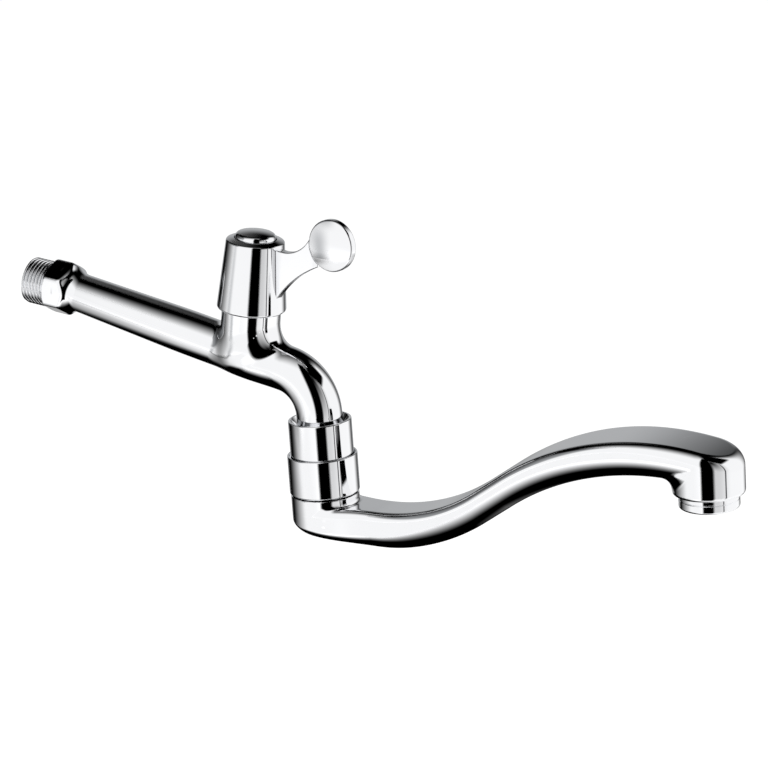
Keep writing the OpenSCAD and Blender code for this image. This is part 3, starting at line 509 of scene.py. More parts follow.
def evened(field, points, faces, rounds=3, pull=0.5):
    """Points drawn towards the mean of their neighbours and put back on the surface."""
    pairs = np.concatenate([faces[:, [k, (k + 1) % 4]] for k in range(4)])
    for _ in range(rounds):
        mean = np.zeros_like(points)
        amount = np.zeros(len(points))
        for k in (0, 1):
            np.add.at(mean, pairs[:, k], points[pairs[:, 1 - k]])
            np.add.at(amount, pairs[:, k], 1.0)
        points = onto(field, points + pull * (mean / amount[:, None] - points), rounds=2)
    return points


def net(field, low, high, step):
    """Smooth quad mesh of a field's zero surface, which has to lie inside the grid."""
    value = sampled(field, [np.arange(low[i], high[i] + step, step) for i in range(3)])
    inside = value < 0
    active = crossed_cells(inside)
    cells = np.argwhere(active)
    index = np.full(active.shape, -1)
    index[active] = np.arange(len(cells))
    faces = crossing_faces(inside, index)
    points = onto(field, np.array(low) + step * crossing_means(value, cells), rounds=3)
    points = evened(field, points, faces)
    normal = slope_of(field, points)
    normal /= np.linalg.norm(normal, axis=1, keepdims=True)
    return points, faces.tolist(), normal[faces.reshape(-1)]


# body: wrench boss, tapered tube, valve tower and bent neck in one casting, and the inlet thread
def boss_field(p):
    """Wrench boss: a hexagon with a coned end towards the tube."""
    x, y, z = p.T
    r = np.hypot(y, z)
    d = np.abs(y)
    for side in (1.0, -1.0):
        d = smooth_max(d, np.abs(0.5 * y + side * math.sqrt(0.75) * z), HEX_CORNER_BLEND)
    d = smooth_max(d - HEX_AF / 2, r - HEX_ROUND_R, HEX_ROUND_BLEND)
    cone = (r - HEX_ROUND_R + math.tan(HEX_CONE) * (x - HEX_LEN)) * math.cos(HEX_CONE)
    d = smooth_max(d, cone, HEX_CONE_BLEND)
    d = smooth_max(d, (r - HEX_ROUND_R + HEX_CHAMFER - x) * math.sqrt(0.5), HEX_CHAMFER_BLEND)
    return np.maximum(smooth_max(d, -x, HEX_FACE_BLEND), x - HEX_LEN - HEX_CONE_LEN)


def tube_field(p):
    """Tapered tube. Near the tower it takes on the neck's radius, and its sides widen to the tower."""
    q = p - TUBE_START
    along = q @ TUBE_DIR
    over = q @ TUBE_UP
    radius = TUBE_START_R + (TUBE_END_R - TUBE_START_R) * np.clip(along / TUBE_LEN, 0.0, 1.0)
    radius = radius + (NECK_R - TUBE_END_R) * smooth_step(TUBE_LEN - TUBE_EASE, TUBE_LEN, along)
    flare = smooth_step(TUBE_LEN - TUBE_FLARE, TUBE_LEN - TUBE_FLARE_END, along)
    wide = radius + (TOWER_R - radius) * flare
    out = np.hypot(over, q[:, 1] * radius / wide)
    return np.maximum(np.maximum(out - radius, -along), along - TUBE_LEN - TUBE_OVERLAP)


def tower_field(p):
    """Upright cylinder with a ball-shaped foot."""
    q = p - TOWER_START
    under = np.minimum(q[:, 2] - TOWER_ROUND_Z, 0.0)
    d = np.sqrt(q[:, 0] ** 2 + q[:, 1] ** 2 + under ** 2) - TOWER_R
    return np.maximum(d, q[:, 2] - TOWER_TOP)


def neck_field(p):
    """Neck: a run on from the tube, a bend down to the swivel's axis, and an end inside the collar."""
    q = p - NECK_START
    along = q @ TUBE_DIR
    over = q @ TUBE_UP
    wide = TOWER_R + (NECK_R - TOWER_R) * smooth_step(NECK_FLARE_START, NECK_RUN, along)
    out = np.hypot(over, q[:, 1] * NECK_R / wide) - NECK_R
    run = np.maximum(out, np.maximum(-along, along - NECK_RUN))
    m = p - BEND_MID
    bend = np.hypot(np.hypot(m[:, 0], m[:, 2]) - NECK_BEND_R, p[:, 1]) - NECK_R
    before_bend = -(p - BEND_START) @ TUBE_DIR
    e = p - BEND_END
    down = -(e @ SWIVEL_Z)
    bend = np.maximum(bend, np.maximum(before_bend, down))
    out = np.sqrt(np.maximum((e * e).sum(1) - down ** 2, TINY ** 2)) - NECK_R
    end = np.maximum(out, np.maximum(-down, down - NECK_END_LEN - NECK_INSERT))
    return np.minimum(np.minimum(run, bend), end)


def body_field(p):
    """The whole casting: the tower meets the pipes in a crease underneath and softly on top."""
    pipe = np.minimum(smooth_min(tube_field(p), boss_field(p), BOSS_FILLET), neck_field(p))
    over_tube = p[:, 2] + (p[:, 0] - TUBE_BEND_X) * math.tan(TUBE_SLOPE)
    side = BLEND_SIDE * smooth_step(*BLEND_SIDE_Z, over_tube)
    top = BLEND_TOP + BLEND_TOP_NECK * smooth_step(*BLEND_NECK_X, p[:, 0] - TOWER_X)
    soft = BLEND_BOTTOM + side + top * smooth_step(*BLEND_TOP_Z, over_tube)
    return smooth_min(tower_field(p), pipe, soft)


def thread_radius(a, x):
    """Radius of the inlet thread at an angle and a place along it, with a chamfer at its end."""
    wave = (x / THREAD_PITCH - a / (2 * math.pi)) % 1.0
    groove = (0.5 + 0.5 * np.cos(2 * math.pi * wave)) ** THREAD_SHARPNESS
    r = THREAD_R - THREAD_DEPTH * smooth_step(*THREAD_RUNOUT, x) * groove
    return np.minimum(r, THREAD_R - THREAD_CHAMFER + (x + THREAD_LEN))


def thread_mesh(turns=168, steps=150, eps=1e-3):
    """Inlet thread: its skin, its end face, and a core inside the grooves that holds the bore."""
    angle = np.arange(turns) * 2 * math.pi / turns
    a, x = np.meshgrid(angle, np.linspace(-THREAD_LEN, THREAD_OVERLAP, steps))
    r = thread_radius(a, x)
    slope_a = (thread_radius(a + eps, x) - thread_radius(a - eps, x)) / (2 * eps)
    slope_x = (thread_radius(a, x + eps) - thread_radius(a, x - eps)) / (2 * eps)
    points = np.stack([x, r * np.cos(a), r * np.sin(a)], -1).reshape(-1, 3)
    out = np.stack([np.zeros_like(a), np.cos(a), np.sin(a)], -1)
    side = np.stack([np.zeros_like(a), -np.sin(a), np.cos(a)], -1)
    normal = out - (slope_a / r)[..., None] * side
    normal[..., 0] -= slope_x
    normal /= np.linalg.norm(normal, axis=-1, keepdims=True)
    here = np.arange(turns)
    after = (here + 1) % turns
    strips = [np.stack([here, after, after + turns, here + turns], 1) + i * turns for i in range(steps - 1)]
    faces = np.concatenate(strips)
    skin = (points, faces.tolist(), normal.reshape(-1, 3)[faces.reshape(-1)])

    core_r = THREAD_R - THREAD_DEPTH - CORE_GAP
    core_edge = np.stack([np.full(turns, -THREAD_LEN), core_r * np.cos(angle), core_r * np.sin(angle)], 1)
    strip = np.stack([here, turns + here, turns + after, after], 1)
    end_face = (np.concatenate([points[:turns], core_edge]), strip.tolist(),
                np.tile([-1.0, 0.0, 0.0], (strip.size, 1)))

    bore_end = BORE_LEN - THREAD_LEN
    core_end = bore_end + CORE_FLOOR
    core = lathe([(core_r, -THREAD_LEN, 0.0), (BORE_R, -THREAD_LEN, BORE_EDGE_ROUND), (BORE_R, bore_end, 0.0),
                  (0.0, bore_end, 0.0), (0.0, core_end, 0.0), (core_r, core_end, 0.0)], turns)
    return joined(skin, end_face, placed(core, INLET_FRAME))


def body_mesh():
    """Casting and thread, in the row frame."""
    return joined(net(body_field, *BODY_GRID), thread_mesh())


# collars
def swivel_collar_mesh():
    """Upper collar: a dished mouth round the neck, and a spigot that goes down into the spout collar."""
    return placed(lathe([
        (COLLAR_R, COLLAR_FOOT, 0.0),
        (COLLAR_R, 0.0, COLLAR_RIM_ROUND),
        (COLLAR_RIM_R, 0.0, COLLAR_MOUTH_ROUND),
        (COLLAR_MOUTH_R, COLLAR_MOUTH_Z, 0.0),
        (NECK_FIT_R, COLLAR_MOUTH_Z, 0.0),
        (NECK_FIT_R, NECK_FIT_Z, 0.0),
        (TAIL_FIT_R, NECK_FIT_Z, 0.0),
        (TAIL_FIT_R, SPIGOT_FOOT, 0.0),
        (SPIGOT_R, SPIGOT_FOOT, 0.0),
        (SPIGOT_R, COLLAR_FOOT, 0.0)]), SWIVEL_FRAME)


def spout_collar_mesh():
    """Lower collar: a nut with a recess for the upper collar and a floor that holds the spout's tail."""
    return placed(lathe([
        (NUT_CHAMFER_R, NUT_FOOT, 0.0),
        (NUT_R, NUT_CHAMFER_Z, NUT_CHAMFER_ROUND),
        (NUT_R, NUT_TOP, NUT_TOP_ROUND),
        (NUT_RECESS_R, NUT_TOP, NUT_RECESS_ROUND),
        (NUT_RECESS_R, NUT_RECESS_Z, 0.0),
        (NUT_FIT_R, NUT_RECESS_Z, 0.0),
        (NUT_FIT_R, NUT_FLOOR_Z, 0.0),
        (NUT_HOLE_R, NUT_FLOOR_Z, 0.0),
        (NUT_HOLE_R, NUT_FOOT, NUT_HOLE_ROUND)]), SWIVEL_FRAME)


# spout
def ease(t):
    """0 at 0, 1 at 1, and half a cosine wave between them."""
    return (1.0 - np.cos(math.pi * np.clip(t, 0.0, 1.0))) / 2.0


def arm_z(u):
    """Height of the arm's middle: level, an arc up, a straight rise, and an arc over the crest."""
    rise = DIP_Z + RISE_R - np.sqrt(np.maximum(RISE_R ** 2 - (u - RISE_START) ** 2, 0.0))
    run = RISE_END_Z + (u - RISE_END) * math.tan(RISE_ANGLE)
    crest = CREST_MID_Z + np.sqrt(np.maximum(CREST_R ** 2 - (u - CREST_U) ** 2, 0.0))
    return np.select([u < RISE_START, u < RISE_END, u < CREST_START], [DIP_Z, rise, run], crest)


def arm_half(u):
    """Half the arm's width: from the base in to the waist, and out again to the nose."""
    return (BASE_R + (WAIST_HALF - BASE_R) * ease(u / WAIST_U)
            + (NOSE_R - WAIST_HALF) * ease((u - WAIST_U) / (NOSE_U - WAIST_U)))


def depth_half(u):
    """Half the arm's depth."""
    return (ARM_DEPTH + BASE_EXTRA_DEPTH * (1.0 - ease(u / RISE_END))) / 2.0


def arm_top(p, step=0.1):
    """Distance above the arm's flat top, and the round of the edge there."""
    u = p[:, 0]
    lean = (arm_z(u + step) - arm_z(u - step)) / (2 * step)
    top = (p[:, 2] - arm_z(u) - depth_half(u)) / np.sqrt(1.0 + lean ** 2)
    return top, ARM_TOP_ROUND + (NOSE_TOP_ROUND - ARM_TOP_ROUND) * smooth_step(NOSE_U, SPOUT_REACH, u)


def arm_field(p, least_rho=1e-3):
    """Arm with upright sides, a rounded underside, round ends and a flat top."""
    u, y, z = p.T
    past = np.minimum(u, 0.0) + np.maximum(u - SPOUT_REACH, 0.0)
    rho = np.maximum(np.hypot(y, past), least_rho)
    half = arm_half(np.clip(u, 0.0, SPOUT_REACH))
    lift = BASE_LIFT * np.maximum((BASE_LIFT_START - u) / (BASE_LIFT_START + BASE_R), 0.0) ** 2
    foot = arm_z(np.minimum(u, SPOUT_REACH)) - depth_half(u) + lift
    under = BASE_UNDER_ROUND + (ARM_UNDER_ROUND - BASE_UNDER_ROUND) * ease(u / RISE_END)
    low = np.maximum(foot + under - z, 0.0)
    level = np.sqrt((rho / half) ** 2 + (low / under) ** 2)
    steep = np.sqrt((rho / half ** 2) ** 2 + (low / under ** 2) ** 2)
    side = (level - 1.0) * level / np.maximum(steep, TINY)
    return round_max(side, *arm_top(p))


def spout_field(p):
    """Spout: the round base under the collar, the arm, and the nose with its nozzle."""
    u, y, z = p.T
    base_foot = DIP_Z + BASE_FOOT
    base = np.hypot(u, y) - BASE_R + BASE_TUCK * smooth_step(base_foot + BASE_TUCK_HEIGHT, base_foot, z)
    base = round_max(base, z - SPOUT_TOP, BASE_TOP_ROUND)
    base = np.maximum(base, base_foot - z)
    d = smooth_min(arm_field(p), base, SPOUT_CREASE + BASE_FILLET * smooth_step(*BASE_FILLET_U, u))
    nozzle = np.hypot(u - SPOUT_REACH, y) - NOSE_R
    nozzle = round_max(nozzle, NOSE_Z - NOZZLE_DROP - z, NOZZLE_ROUND)
    nozzle = round_max(nozzle, *arm_top(p))
    fillet = NOZZLE_FILLET * smooth_step(0.0, NOZZLE_FILLET_RUN, SPOUT_REACH - u)
    fillet = fillet * smooth_step(*NOZZLE_FILLET_Z, z - NOSE_Z)
    return smooth_min(d, nozzle, SPOUT_CREASE + fillet)


def spout_mesh():
    """Spout, in the row frame."""
    return placed(net(spout_field, *SPOUT_GRID), SWIVEL_FRAME)


def aerator_mesh():
    """Ring under the nozzle with a thin groove round it, and a neck that goes up into the spout."""
    return placed(lathe([
        (RING_LIP_R, RING_FOOT, RING_MOUTH_ROUND),
        (RING_R, RING_FOOT, RING_FOOT_ROUND),
        (RING_R, RING_GROOVE_FOOT, RING_GROOVE_EDGE_ROUND),
        (RING_GROOVE_R, RING_GROOVE_FLOOR_FOOT, RING_GROOVE_FLOOR_ROUND),
        (RING_GROOVE_R, RING_GROOVE_FLOOR_TOP, RING_GROOVE_FLOOR_ROUND),
        (RING_R, RING_GROOVE_TOP, RING_GROOVE_EDGE_ROUND),
        (RING_R, RING_TOP, RING_TOP_ROUND),
        (RING_NECK_R, RING_TOP, 0.0),
        (RING_NECK_R, RING_NECK_TOP, 0.0),
        (RING_HOLE_R, RING_NECK_TOP, 0.0),
        (RING_HOLE_R, RING_LIP_Z, 0.0),
        (RING_LIP_R, RING_LIP_Z, RING_LIP_ROUND)]), NOZZLE_FRAME)


# handle
def bell_mesh():
    """Conical shell: outside, well for the cap, screw hole, hub, hollow and mouth."""
    return placed(lathe([
        (BELL_FOOT_R, 0.0, BELL_FOOT_ROUND),
        (BELL_TOP_R, BELL_SHOULDER_Z, BELL_SHOULDER_ROUND),
        (WELL_R, WELL_TOP, WELL_TOP_ROUND),
        (WELL_R, WELL_FLOOR_Z, 0.0),
        (SCREW_HOLE_R, WELL_FLOOR_Z, 0.0),
        (SCREW_HOLE_R, BELL_ROOF_Z, 0.0),
        (SPINDLE_FIT_R, BELL_ROOF_Z, 0.0),
        (SPINDLE_FIT_R, HUB_FOOT, 0.0),
        (HUB_R, HUB_FOOT, 0.0),
        (HUB_R, BELL_ROOF_Z, 0.0),
        (BELL_HOLLOW_R, BELL_ROOF_Z, 0.0),
        (BELL_HOLLOW_R, BELL_STEP_Z, 0.0),
        (BELL_MOUTH_R, BELL_STEP_Z, 0.0),
        (BELL_MOUTH_R, 0.0, BELL_MOUTH_ROUND)]), BELL_FRAME)


def cap_mesh():
    """Disc with a low dome inside a rounded rim."""
    dome_r = CAP_R - CAP_RIM
    ball_r = (dome_r ** 2 + CAP_DOME ** 2) / (2 * CAP_DOME)
    foot = CAP_EDGE_Z - CAP_DEPTH
    dome = [(ball_r * math.sin(a), CAP_EDGE_Z + CAP_DOME - ball_r * (1 - math.cos(a)), SMOOTH)
            for a in np.linspace(0.0, math.asin(dome_r / ball_r), CAP_DOME_STEPS)]
    edge = [(0.0, foot, 0.0),
            (CAP_R, foot, CAP_FOOT_ROUND),
            (CAP_R, CAP_EDGE_Z - CAP_EDGE_DROP, CAP_EDGE_ROUND)]
    return placed(lathe(edge + dome[-2::-1]), BELL_FRAME)


def lever_field(p):
    """Blade with two hollow edges that thins towards the domed paddle."""
    x, y, z = p.T
    rho = np.hypot(x - PADDLE_X, z - PADDLE_Z)
    dome = PADDLE_EDGE + PADDLE_DOME * (1.0 - np.minimum(rho / PADDLE_R, PADDLE_DOME_LIMIT) ** 2)
    paddle = round_max(rho - PADDLE_R, np.abs(y) - dome, PADDLE_EDGE_ROUND)
    upper = UPPER_EDGE_R - np.hypot(np.maximum(x - UPPER_EDGE_X, 0.0), z - UPPER_EDGE_Z)
    upper = np.where(z > UPPER_EDGE_Z, UPPER_EDGE_R - np.abs(x - UPPER_EDGE_X), upper)
    lower = LOWER_EDGE_R - np.hypot(x - LOWER_EDGE_X, z - LOWER_EDGE_Z)
    outline = np.maximum(upper, lower)
    outline = np.maximum(outline, np.maximum(BLADE_X[0] - x, x - BLADE_X[1]))
    outline = np.maximum(outline, np.maximum(BLADE_Z[0] - z, z - BLADE_Z[1]))
    half = BLADE_HALF - BLADE_THINNING * smooth_step(*BLADE_THINNING_X, x)
    blade = round_max(outline, np.abs(y) - half, BLADE_EDGE_ROUND)
    return smooth_min(paddle, blade, BLADE_BLEND)


def lever_mesh():
    """Lever, in the row frame."""
    return placed(net(lever_field, *LEVER_GRID), LEVER_FRAME)


# materials: shares of a value where a surface is duller, smeared or uneven
CHROME_DULL = 0.97
CHROME_SMEAR = 2.0
GRAIN_GLOSS = (0.8, 1.2)


def node_material(name):
    """A new node material, with its nodes and links."""
    mat = bpy.data.materials.new(name)
    mat.use_nodes = True
    return mat, mat.node_tree.nodes, mat.node_tree.links


def noise(nodes, links, scale, detail):
    """Noise over a piece's own coordinates."""
    place = nodes.new("ShaderNodeTexCoord")
    texture = nodes.new("ShaderNodeTexNoise")
    texture.inputs["Scale"].default_value = scale
    texture.inputs["Detail"].default_value = detail
    links.new(place.outputs["Object"], texture.inputs["Vector"])
    return texture.outputs["Fac"]


def colour_from(nodes, links, factor, dark, light, span):
    """Base colour that goes from dark to light over a span of a factor."""
    ramp = nodes.new("ShaderNodeValToRGB")
    for element, position, colour in zip(ramp.color_ramp.elements, span, (dark, light)):
        element.position = position
        element.color = (*colour, 1.0)
    links.new(factor, ramp.inputs["Fac"])
    links.new(ramp.outputs["Color"], nodes["Principled BSDF"].inputs["Base Color"])


def roughness_from(nodes, links, factor, low, high, span):
    """Roughness that goes from low to high over a span of a factor."""
    gloss = nodes.new("ShaderNodeMapRange")
    gloss.inputs["From Min"].default_value = span[0]
    gloss.inputs["From Max"].default_value = span[1]
    gloss.inputs["To Min"].default_value = low
    gloss.inputs["To Max"].default_value = high
    links.new(factor, gloss.inputs["Value"])
    links.new(gloss.outputs["Result"], nodes["Principled BSDF"].inputs["Roughness"])


def bump_from(nodes, links, height, strength, distance):
    """Bump from a height."""
    bump = nodes.new("ShaderNodeBump")
    bump.inputs["Strength"].default_value = strength
    bump.inputs["Distance"].default_value = distance
    links.new(height, bump.inputs["Height"])
    links.new(bump.outputs["Normal"], nodes["Principled BSDF"].inputs["Normal"])


def chrome_material(name, tint, rough, wave):
    """Polished plate: faint smears in the gloss and a slight waviness of the casting."""
    mat, nodes, links = node_material(name)
    nodes["Principled BSDF"].inputs["Metallic"].default_value = 1.0
    smear = noise(nodes, links, scale=90.0, detail=4.0)
    dull = [c * CHROME_DULL for c in tint]
    colour_from(nodes, links, smear, dull, tint, span=(0.0, 1.0))
    roughness_from(nodes, links, smear, low=rough, high=rough * CHROME_SMEAR, span=(0.35, 0.75))
    swell = noise(nodes, links, scale=60.0, detail=1.0)
    bump_from(nodes, links, swell, strength=1.0, distance=wave)
    return mat


def grain_material(name, dark, light, metallic, rough, scale, depth):
    """Machined or moulded surface: two close shades, uneven gloss and a fine grain."""
    mat, nodes, links = node_material(name)
    nodes["Principled BSDF"].inputs["Metallic"].default_value = metallic
    grain = noise(nodes, links, scale=scale, detail=6.0)
    colour_from(nodes, links, grain, dark, light, span=(0.3, 0.7))
    roughness_from(nodes, links, grain, low=rough * GRAIN_GLOSS[0], high=rough * GRAIN_GLOSS[1],
                   span=(0.0, 1.0))
    bump_from(nodes, links, grain, strength=0.5, distance=depth)
    return mat


chrome = chrome_material("chrome_plate", tint=(0.93, 0.935, 0.95), rough=0.02, wave=0.000003)
inner = {
    "brass": grain_material("machined_brass", dark=(0.68, 0.5, 0.2), light=(0.8, 0.63, 0.31),
                            metallic=1.0, rough=0.3, scale=900.0, depth=0.00002),
    "steel": grain_material("stainless_steel", dark=(0.5, 0.51, 0.53), light=(0.64, 0.65, 0.67),
                            metallic=1.0, rough=0.28, scale=1200.0, depth=0.00002),
    "rubber": grain_material("moulded_rubber", dark=(0.012, 0.012, 0.012), light=(0.03, 0.03, 0.03),
                             metallic=0.0, rough=0.6, scale=1500.0, depth=0.00002),
    "ceramic": grain_material("lapped_ceramic", dark=(0.86, 0.86, 0.83), light=(0.92, 0.92, 0.9),
                              metallic=0.0, rough=0.22, scale=700.0, depth=0.00001),
    "plastic": grain_material("moulded_plastic", dark=(0.74, 0.74, 0.72), light=(0.8, 0.8, 0.78),
                              metallic=0.0, rough=0.42, scale=1100.0, depth=0.00001),
}
for part in frame["record"]["subparts"]:
    if part["material_slot"] != "chrome":
        data = frame["nodes"][part["node"]].data
        data.materials.clear()
        data.materials.append(inner[part["material_slot"]])

# visible pieces
piece("tap_body", body_mesh(), "fixed", "body", chrome)
piece("swivel_collar", swivel_collar_mesh(), "fixed", "swivel_sleeve", chrome)
piece("spout_collar", spout_collar_mesh(), "fixed", "spout_nut", chrome)
piece("handle_shell", bell_mesh(), "handle", "handle_bell", chrome)
piece("handle_cap", cap_mesh(), "handle", "index_cap", chrome)
piece("handle_lever", lever_mesh(), "handle", "lever", chrome)
piece("swing_spout", spout_mesh(), "swing", "spout", chrome)
piece("aerator_ring", aerator_mesh(), "swing", "aerator_shell", chrome)

# studio, in metres: the camera was fitted to the photo
AZIMUTH = math.radians(27.08)
ELEVATION = math.radians(19.32)
ROLL = math.radians(4.37)
DISTANCE = 1.08829
TARGET = Vector((0.17007, 0.0, -0.00812))
FOCUS_PX = 2564.62
IMAGE_PX = 768.0
SENSOR_MM = 36.0
CLIP_START = 0.05
CLIP_END = 50.0
FLOOR_Z = -0.55
FLOOR_HALF = 6.0
PAPER_SHADE = 0.85
PAPER_GLOW = 0.62
FILL_STRENGTH = 0.45
FLAG_RED = 0.94                 # red and green of a dark flag, as shares of its blue; a white flag is neutral
FLAG_GREEN = 0.97
RIGHT = Vector((math.cos(AZIMUTH), math.sin(AZIMUTH), 0.0))


def direction(azimuth, elevation):
    """Unit vector from the target. Azimuth goes from -Y towards +X."""
    return Vector((math.sin(azimuth) * math.cos(elevation),
                   -math.cos(azimuth) * math.cos(elevation),
                   math.sin(elevation)))


def make_camera():
    """The camera at the photo's viewing angle."""
    back = direction(AZIMUTH, ELEVATION)
    up = back.cross(RIGHT)
    across = math.cos(ROLL) * RIGHT + math.sin(ROLL) * up
    upward = -math.sin(ROLL) * RIGHT + math.cos(ROLL) * up
    lens = bpy.data.cameras.new("camera")
    lens.sensor_width = SENSOR_MM
    lens.lens = FOCUS_PX / IMAGE_PX * SENSOR_MM
    lens.clip_start = CLIP_START
    lens.clip_end = CLIP_END
    camera = bpy.data.objects.new("camera", lens)
    turn = Matrix((across, upward, back)).transposed()
    camera.matrix_world = Matrix.Translation(TARGET + back * DISTANCE) @ turn.to_4x4()
    bpy.context.scene.collection.objects.link(camera)
    bpy.context.scene.camera = camera


def math_node(nodes, links, operation, first, second):
    """A math node's result. A number is set on its socket, and anything else is linked to it."""
    node = nodes.new("ShaderNodeMath")
    node.operation = operation
    for socket, value in zip(node.inputs, (first, second)):
        if isinstance(value, float):
            socket.default_value = value
        else:
            links.new(value, socket)
    return node.outputs["Value"]


def flag_material(name, shade, soft):
    """A plain shade that fades out towards the card's edges, over a share of its width and of its height."""
    mat, nodes, links = node_material(name)
    nodes.clear()
    place = nodes.new("ShaderNodeTexCoord")
    split = nodes.new("ShaderNodeSeparateXYZ")
    links.new(place.outputs["Generated"], split.inputs["Vector"])
    fades = []
    for axis, share in zip("XY", soft):
        across = split.outputs[axis]
        other = math_node(nodes, links, "SUBTRACT", 1.0, across)
        edge = math_node(nodes, links, "MINIMUM", across, other)
        fade = nodes.new("ShaderNodeMapRange")
        fade.interpolation_type = "SMOOTHSTEP"
        fade.inputs["From Max"].default_value = share
        links.new(edge, fade.inputs["Value"])
        fades.append(fade.outputs["Result"])
    clear = nodes.new("ShaderNodeBsdfTransparent")
    glow = nodes.new("ShaderNodeEmission")
    red = shade * (FLAG_RED + (1.0 - FLAG_RED) * shade)
    green = shade * (FLAG_GREEN + (1.0 - FLAG_GREEN) * shade)
    glow.inputs["Color"].default_value = (red, green, shade, 1.0)
    pick = nodes.new("ShaderNodeMixShader")
    links.new(math_node(nodes, links, "MULTIPLY", *fades), pick.inputs["Fac"])
    links.new(clear.outputs["BSDF"], pick.inputs[1])
    links.new(glow.outputs["Emission"], pick.inputs[2])
    out = nodes.new("ShaderNodeOutputMaterial")
    links.new(pick.outputs["Shader"], out.inputs["Surface"])
    return mat


def flag(name, corners, shade, soft):
    """A studio flag that only reflections see, from its four corners."""
    middle = sum(corners, Vector((0.0, 0.0, 0.0))) / len(corners)
    wide = corners[1] - corners[0]
    high = corners[3] - corners[0]
    w = wide.length / 2
    h = high.length / 2
    data = bpy.data.meshes.new(name)
    data.from_pydata([(-w, -h, 0), (w, -h, 0), (w, h, 0), (-w, h, 0)], [], [[0, 1, 2, 3]])
    data.materials.append(flag_material(name, shade, soft))
    obj = bpy.data.objects.new(name, data)
    turn = Matrix((wide.normalized(), high.normalized(), wide.cross(high).normalized())).transposed()
    obj.matrix_world = Matrix.Translation(middle) @ turn.to_4x4()
    obj.visible_camera = False
    obj.visible_diffuse = False
    obj.visible_shadow = False
    obj.visible_transmission = False
    bpy.context.scene.collection.objects.link(obj)


def studio_point(side, front, height):
    """A point from the target: to the camera's right, towards the camera along the floor, and up."""
    return TARGET + side * RIGHT + front * direction(AZIMUTH, 0.0) + Vector((0.0, 0.0, height))


def upright_flag(name, azimuth, distance, width, low, high, shade, soft):
    """An upright flag that faces the target. Azimuth is from the camera's, to the right, in degrees."""
    a = math.radians(azimuth)
    side = math.sin(a) * distance
    front = math.cos(a) * distance
    side_half = math.cos(a) * width / 2
    front_half = -math.sin(a) * width / 2
    start = (side - side_half, front - front_half)
    end = (side + side_half, front + front_half)
    corners = [(*start, low), (*end, low), (*end, high), (*start, high)]
    flag(name, [studio_point(*corner) for corner in corners], shade, soft)


def level_flag(name, side, front, height, shade, soft):
    """A level flag, from its ranges to the side and to the front."""
    corners = [(side[0], front[0]), (side[1], front[0]), (side[1], front[1]), (side[0], front[1])]
    flag(name, [studio_point(*corner, height) for corner in corners], shade, soft)


def background_ray(nodes, links):
    """One where a camera, glossy or transmission ray looks, zero for light that falls on things."""
    path = nodes.new("ShaderNodeLightPath")
    either = math_node(nodes, links, "MAXIMUM", path.outputs["Is Camera Ray"], path.outputs["Is Glossy Ray"])
    return math_node(nodes, links, "MAXIMUM", either, path.outputs["Is Transmission Ray"])


def put_out(nodes, links, lit, seen, output):
    """Ends a material or world with one shader for light on things and one for what is seen."""
    pick = nodes.new("ShaderNodeMixShader")
    links.new(background_ray(nodes, links), pick.inputs["Fac"])
    links.new(lit, pick.inputs[1])
    links.new(seen, pick.inputs[2])
    out = nodes.new(output)
    links.new(pick.outputs["Shader"], out.inputs["Surface"])


def paper_material():
    """Pale paper that takes a shadow and glows a little where it is seen, up to the white round it."""
    paper, nodes, links = node_material("floor_paper")
    nodes.clear()
    plain = nodes.new("ShaderNodeBsdfDiffuse")
    plain.inputs["Color"].default_value = (PAPER_SHADE, PAPER_SHADE, PAPER_SHADE, 1.0)
    glow = nodes.new("ShaderNodeEmission")
    glow.inputs["Strength"].default_value = PAPER_GLOW
    shown = nodes.new("ShaderNodeAddShader")
    links.new(plain.outputs["BSDF"], shown.inputs[0])
    links.new(glow.outputs["Emission"], shown.inputs[1])
    put_out(nodes, links, plain.outputs["BSDF"], shown.outputs["Shader"], "ShaderNodeOutputMaterial")
    return paper


def make_floor():
    """The floor, below the tap because a wall carries it."""
    corners = [(-FLOOR_HALF, -FLOOR_HALF), (FLOOR_HALF, -FLOOR_HALF), (FLOOR_HALF, FLOOR_HALF),
               (-FLOOR_HALF, FLOOR_HALF)]
    data = bpy.data.meshes.new("floor")
    data.from_pydata([(*corner, FLOOR_Z) for corner in corners], [], [[0, 1, 2, 3]])
    data.materials.append(paper_material())
    floor = bpy.data.objects.new("floor", data)
    bpy.context.scene.collection.objects.link(floor)


def white_background(nodes, strength):
    """A white world shader."""
    background = nodes.new("ShaderNodeBackground")
    background.inputs["Color"].default_value = (1.0, 1.0, 1.0, 1.0)
    background.inputs["Strength"].default_value = strength
    return background.outputs["Background"]


def make_world():
    """White where it is seen, and a weaker fill for light on things."""
    world = bpy.data.worlds.new("studio")
    bpy.context.scene.world = world
    world.use_nodes = True
    nodes = world.node_tree.nodes
    links = world.node_tree.links
    nodes.clear()
    seen = white_background(nodes, 1.0)
    fill = white_background(nodes, FILL_STRENGTH)
    put_out(nodes, links, fill, seen, "ShaderNodeOutputWorld")


def lamp(name, azimuth, elevation, distance, size, power):
    """A square softbox that reflections don't see. Azimuth is from the camera's, to the right, in degrees."""
    to = direction(AZIMUTH + math.radians(azimuth), math.radians(elevation))
    light = bpy.data.lights.new(name, "AREA")
    light.size = size
    light.energy = power
    obj = bpy.data.objects.new(name, light)
    obj.rotation_mode = "QUATERNION"
    obj.rotation_quaternion = to.to_track_quat("Z", "Y")
    obj.location = TARGET + to * distance
    obj.visible_glossy = False
    bpy.context.scene.collection.objects.link(obj)


make_camera()

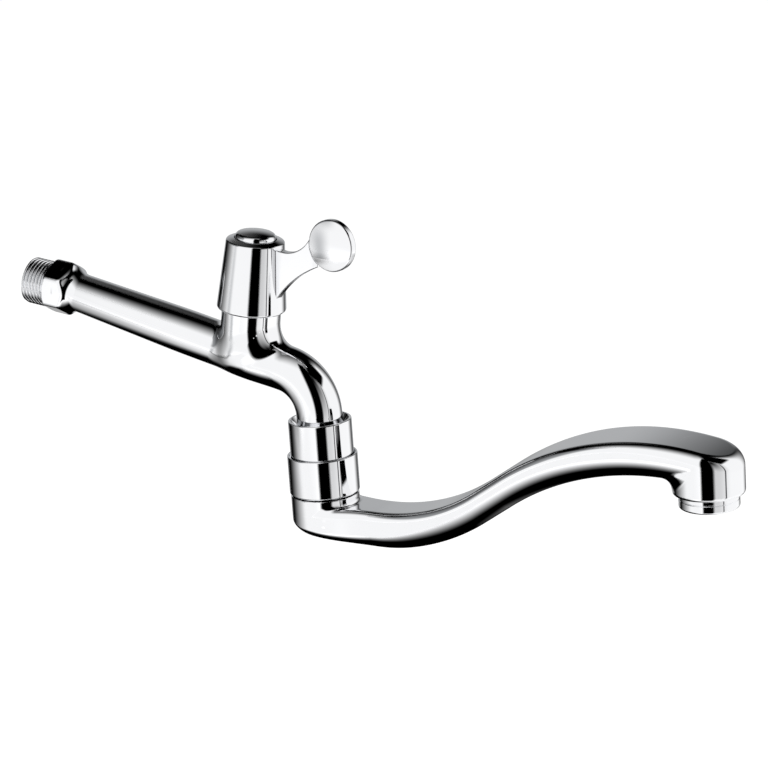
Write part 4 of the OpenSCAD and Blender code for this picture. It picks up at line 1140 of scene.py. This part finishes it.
# flags, placed so that the chrome shows the photo's dark and light areas
upright_flag("flag_front", azimuth=5.0, distance=0.65, width=0.55, low=-1.9, high=3.0,
             shade=0.0, soft=(0.2, 0.2))
upright_flag("flag_left", azimuth=-135.0, distance=0.95, width=3.0, low=-1.2, high=1.65,
             shade=0.0, soft=(0.5, 0.3))
upright_flag("flag_right", azimuth=167.0, distance=1.15, width=2.5, low=-1.25, high=2.9,
             shade=0.0, soft=(0.4, 0.2))
upright_flag("flag_side", azimuth=27.0, distance=0.95, width=1.7, low=-0.9, high=3.0,
             shade=0.0, soft=(0.5, 0.5))
upright_flag("flag_back", azimuth=184.0, distance=0.85, width=1.3, low=-0.65, high=0.6,
             shade=0.45, soft=(0.25, 0.4))
upright_flag("flag_line", azimuth=52.0, distance=0.95, width=0.1, low=-0.8, high=1.0,
             shade=0.05, soft=(0.4, 0.2))
upright_flag("flag_paddle", azimuth=-78.0, distance=1.3, width=0.55, low=-0.9, high=0.1,
             shade=0.6, soft=(0.5, 0.4))
upright_flag("flag_far_left", azimuth=-95.0, distance=1.7, width=2.3, low=-0.2, high=1.5,
             shade=0.3, soft=(0.25, 0.2))
level_flag("flag_top", side=(-1.05, 0.45), front=(-1.0, 0.5), height=0.6,
           shade=0.0, soft=(0.15, 0.45))
level_flag("flag_nose", side=(0.0, 0.7), front=(-0.3, 0.45), height=0.58,
           shade=0.0, soft=(0.2, 0.2))
level_flag("flag_under", side=(-1.4, 1.25), front=(-1.05, 0.54), height=-0.45,
           shade=0.0, soft=(0.2, 0.3))
level_flag("flag_under_front", side=(0.15, 1.05), front=(-0.6, 0.75), height=-0.4,
           shade=1.0, soft=(0.2, 0.2))
level_flag("flag_under_left", side=(-0.85, -0.3), front=(-0.45, 1.45), height=-0.35,
           shade=1.0, soft=(0.25, 0.45))

make_floor()
make_world()
lamp("softbox_left", azimuth=-60.0, elevation=35.0, distance=1.6, size=0.9, power=9.0)
lamp("softbox_right", azimuth=60.0, elevation=30.0, distance=1.6, size=0.9, power=7.0)

bpy.context.scene.view_settings.view_transform = "Standard"
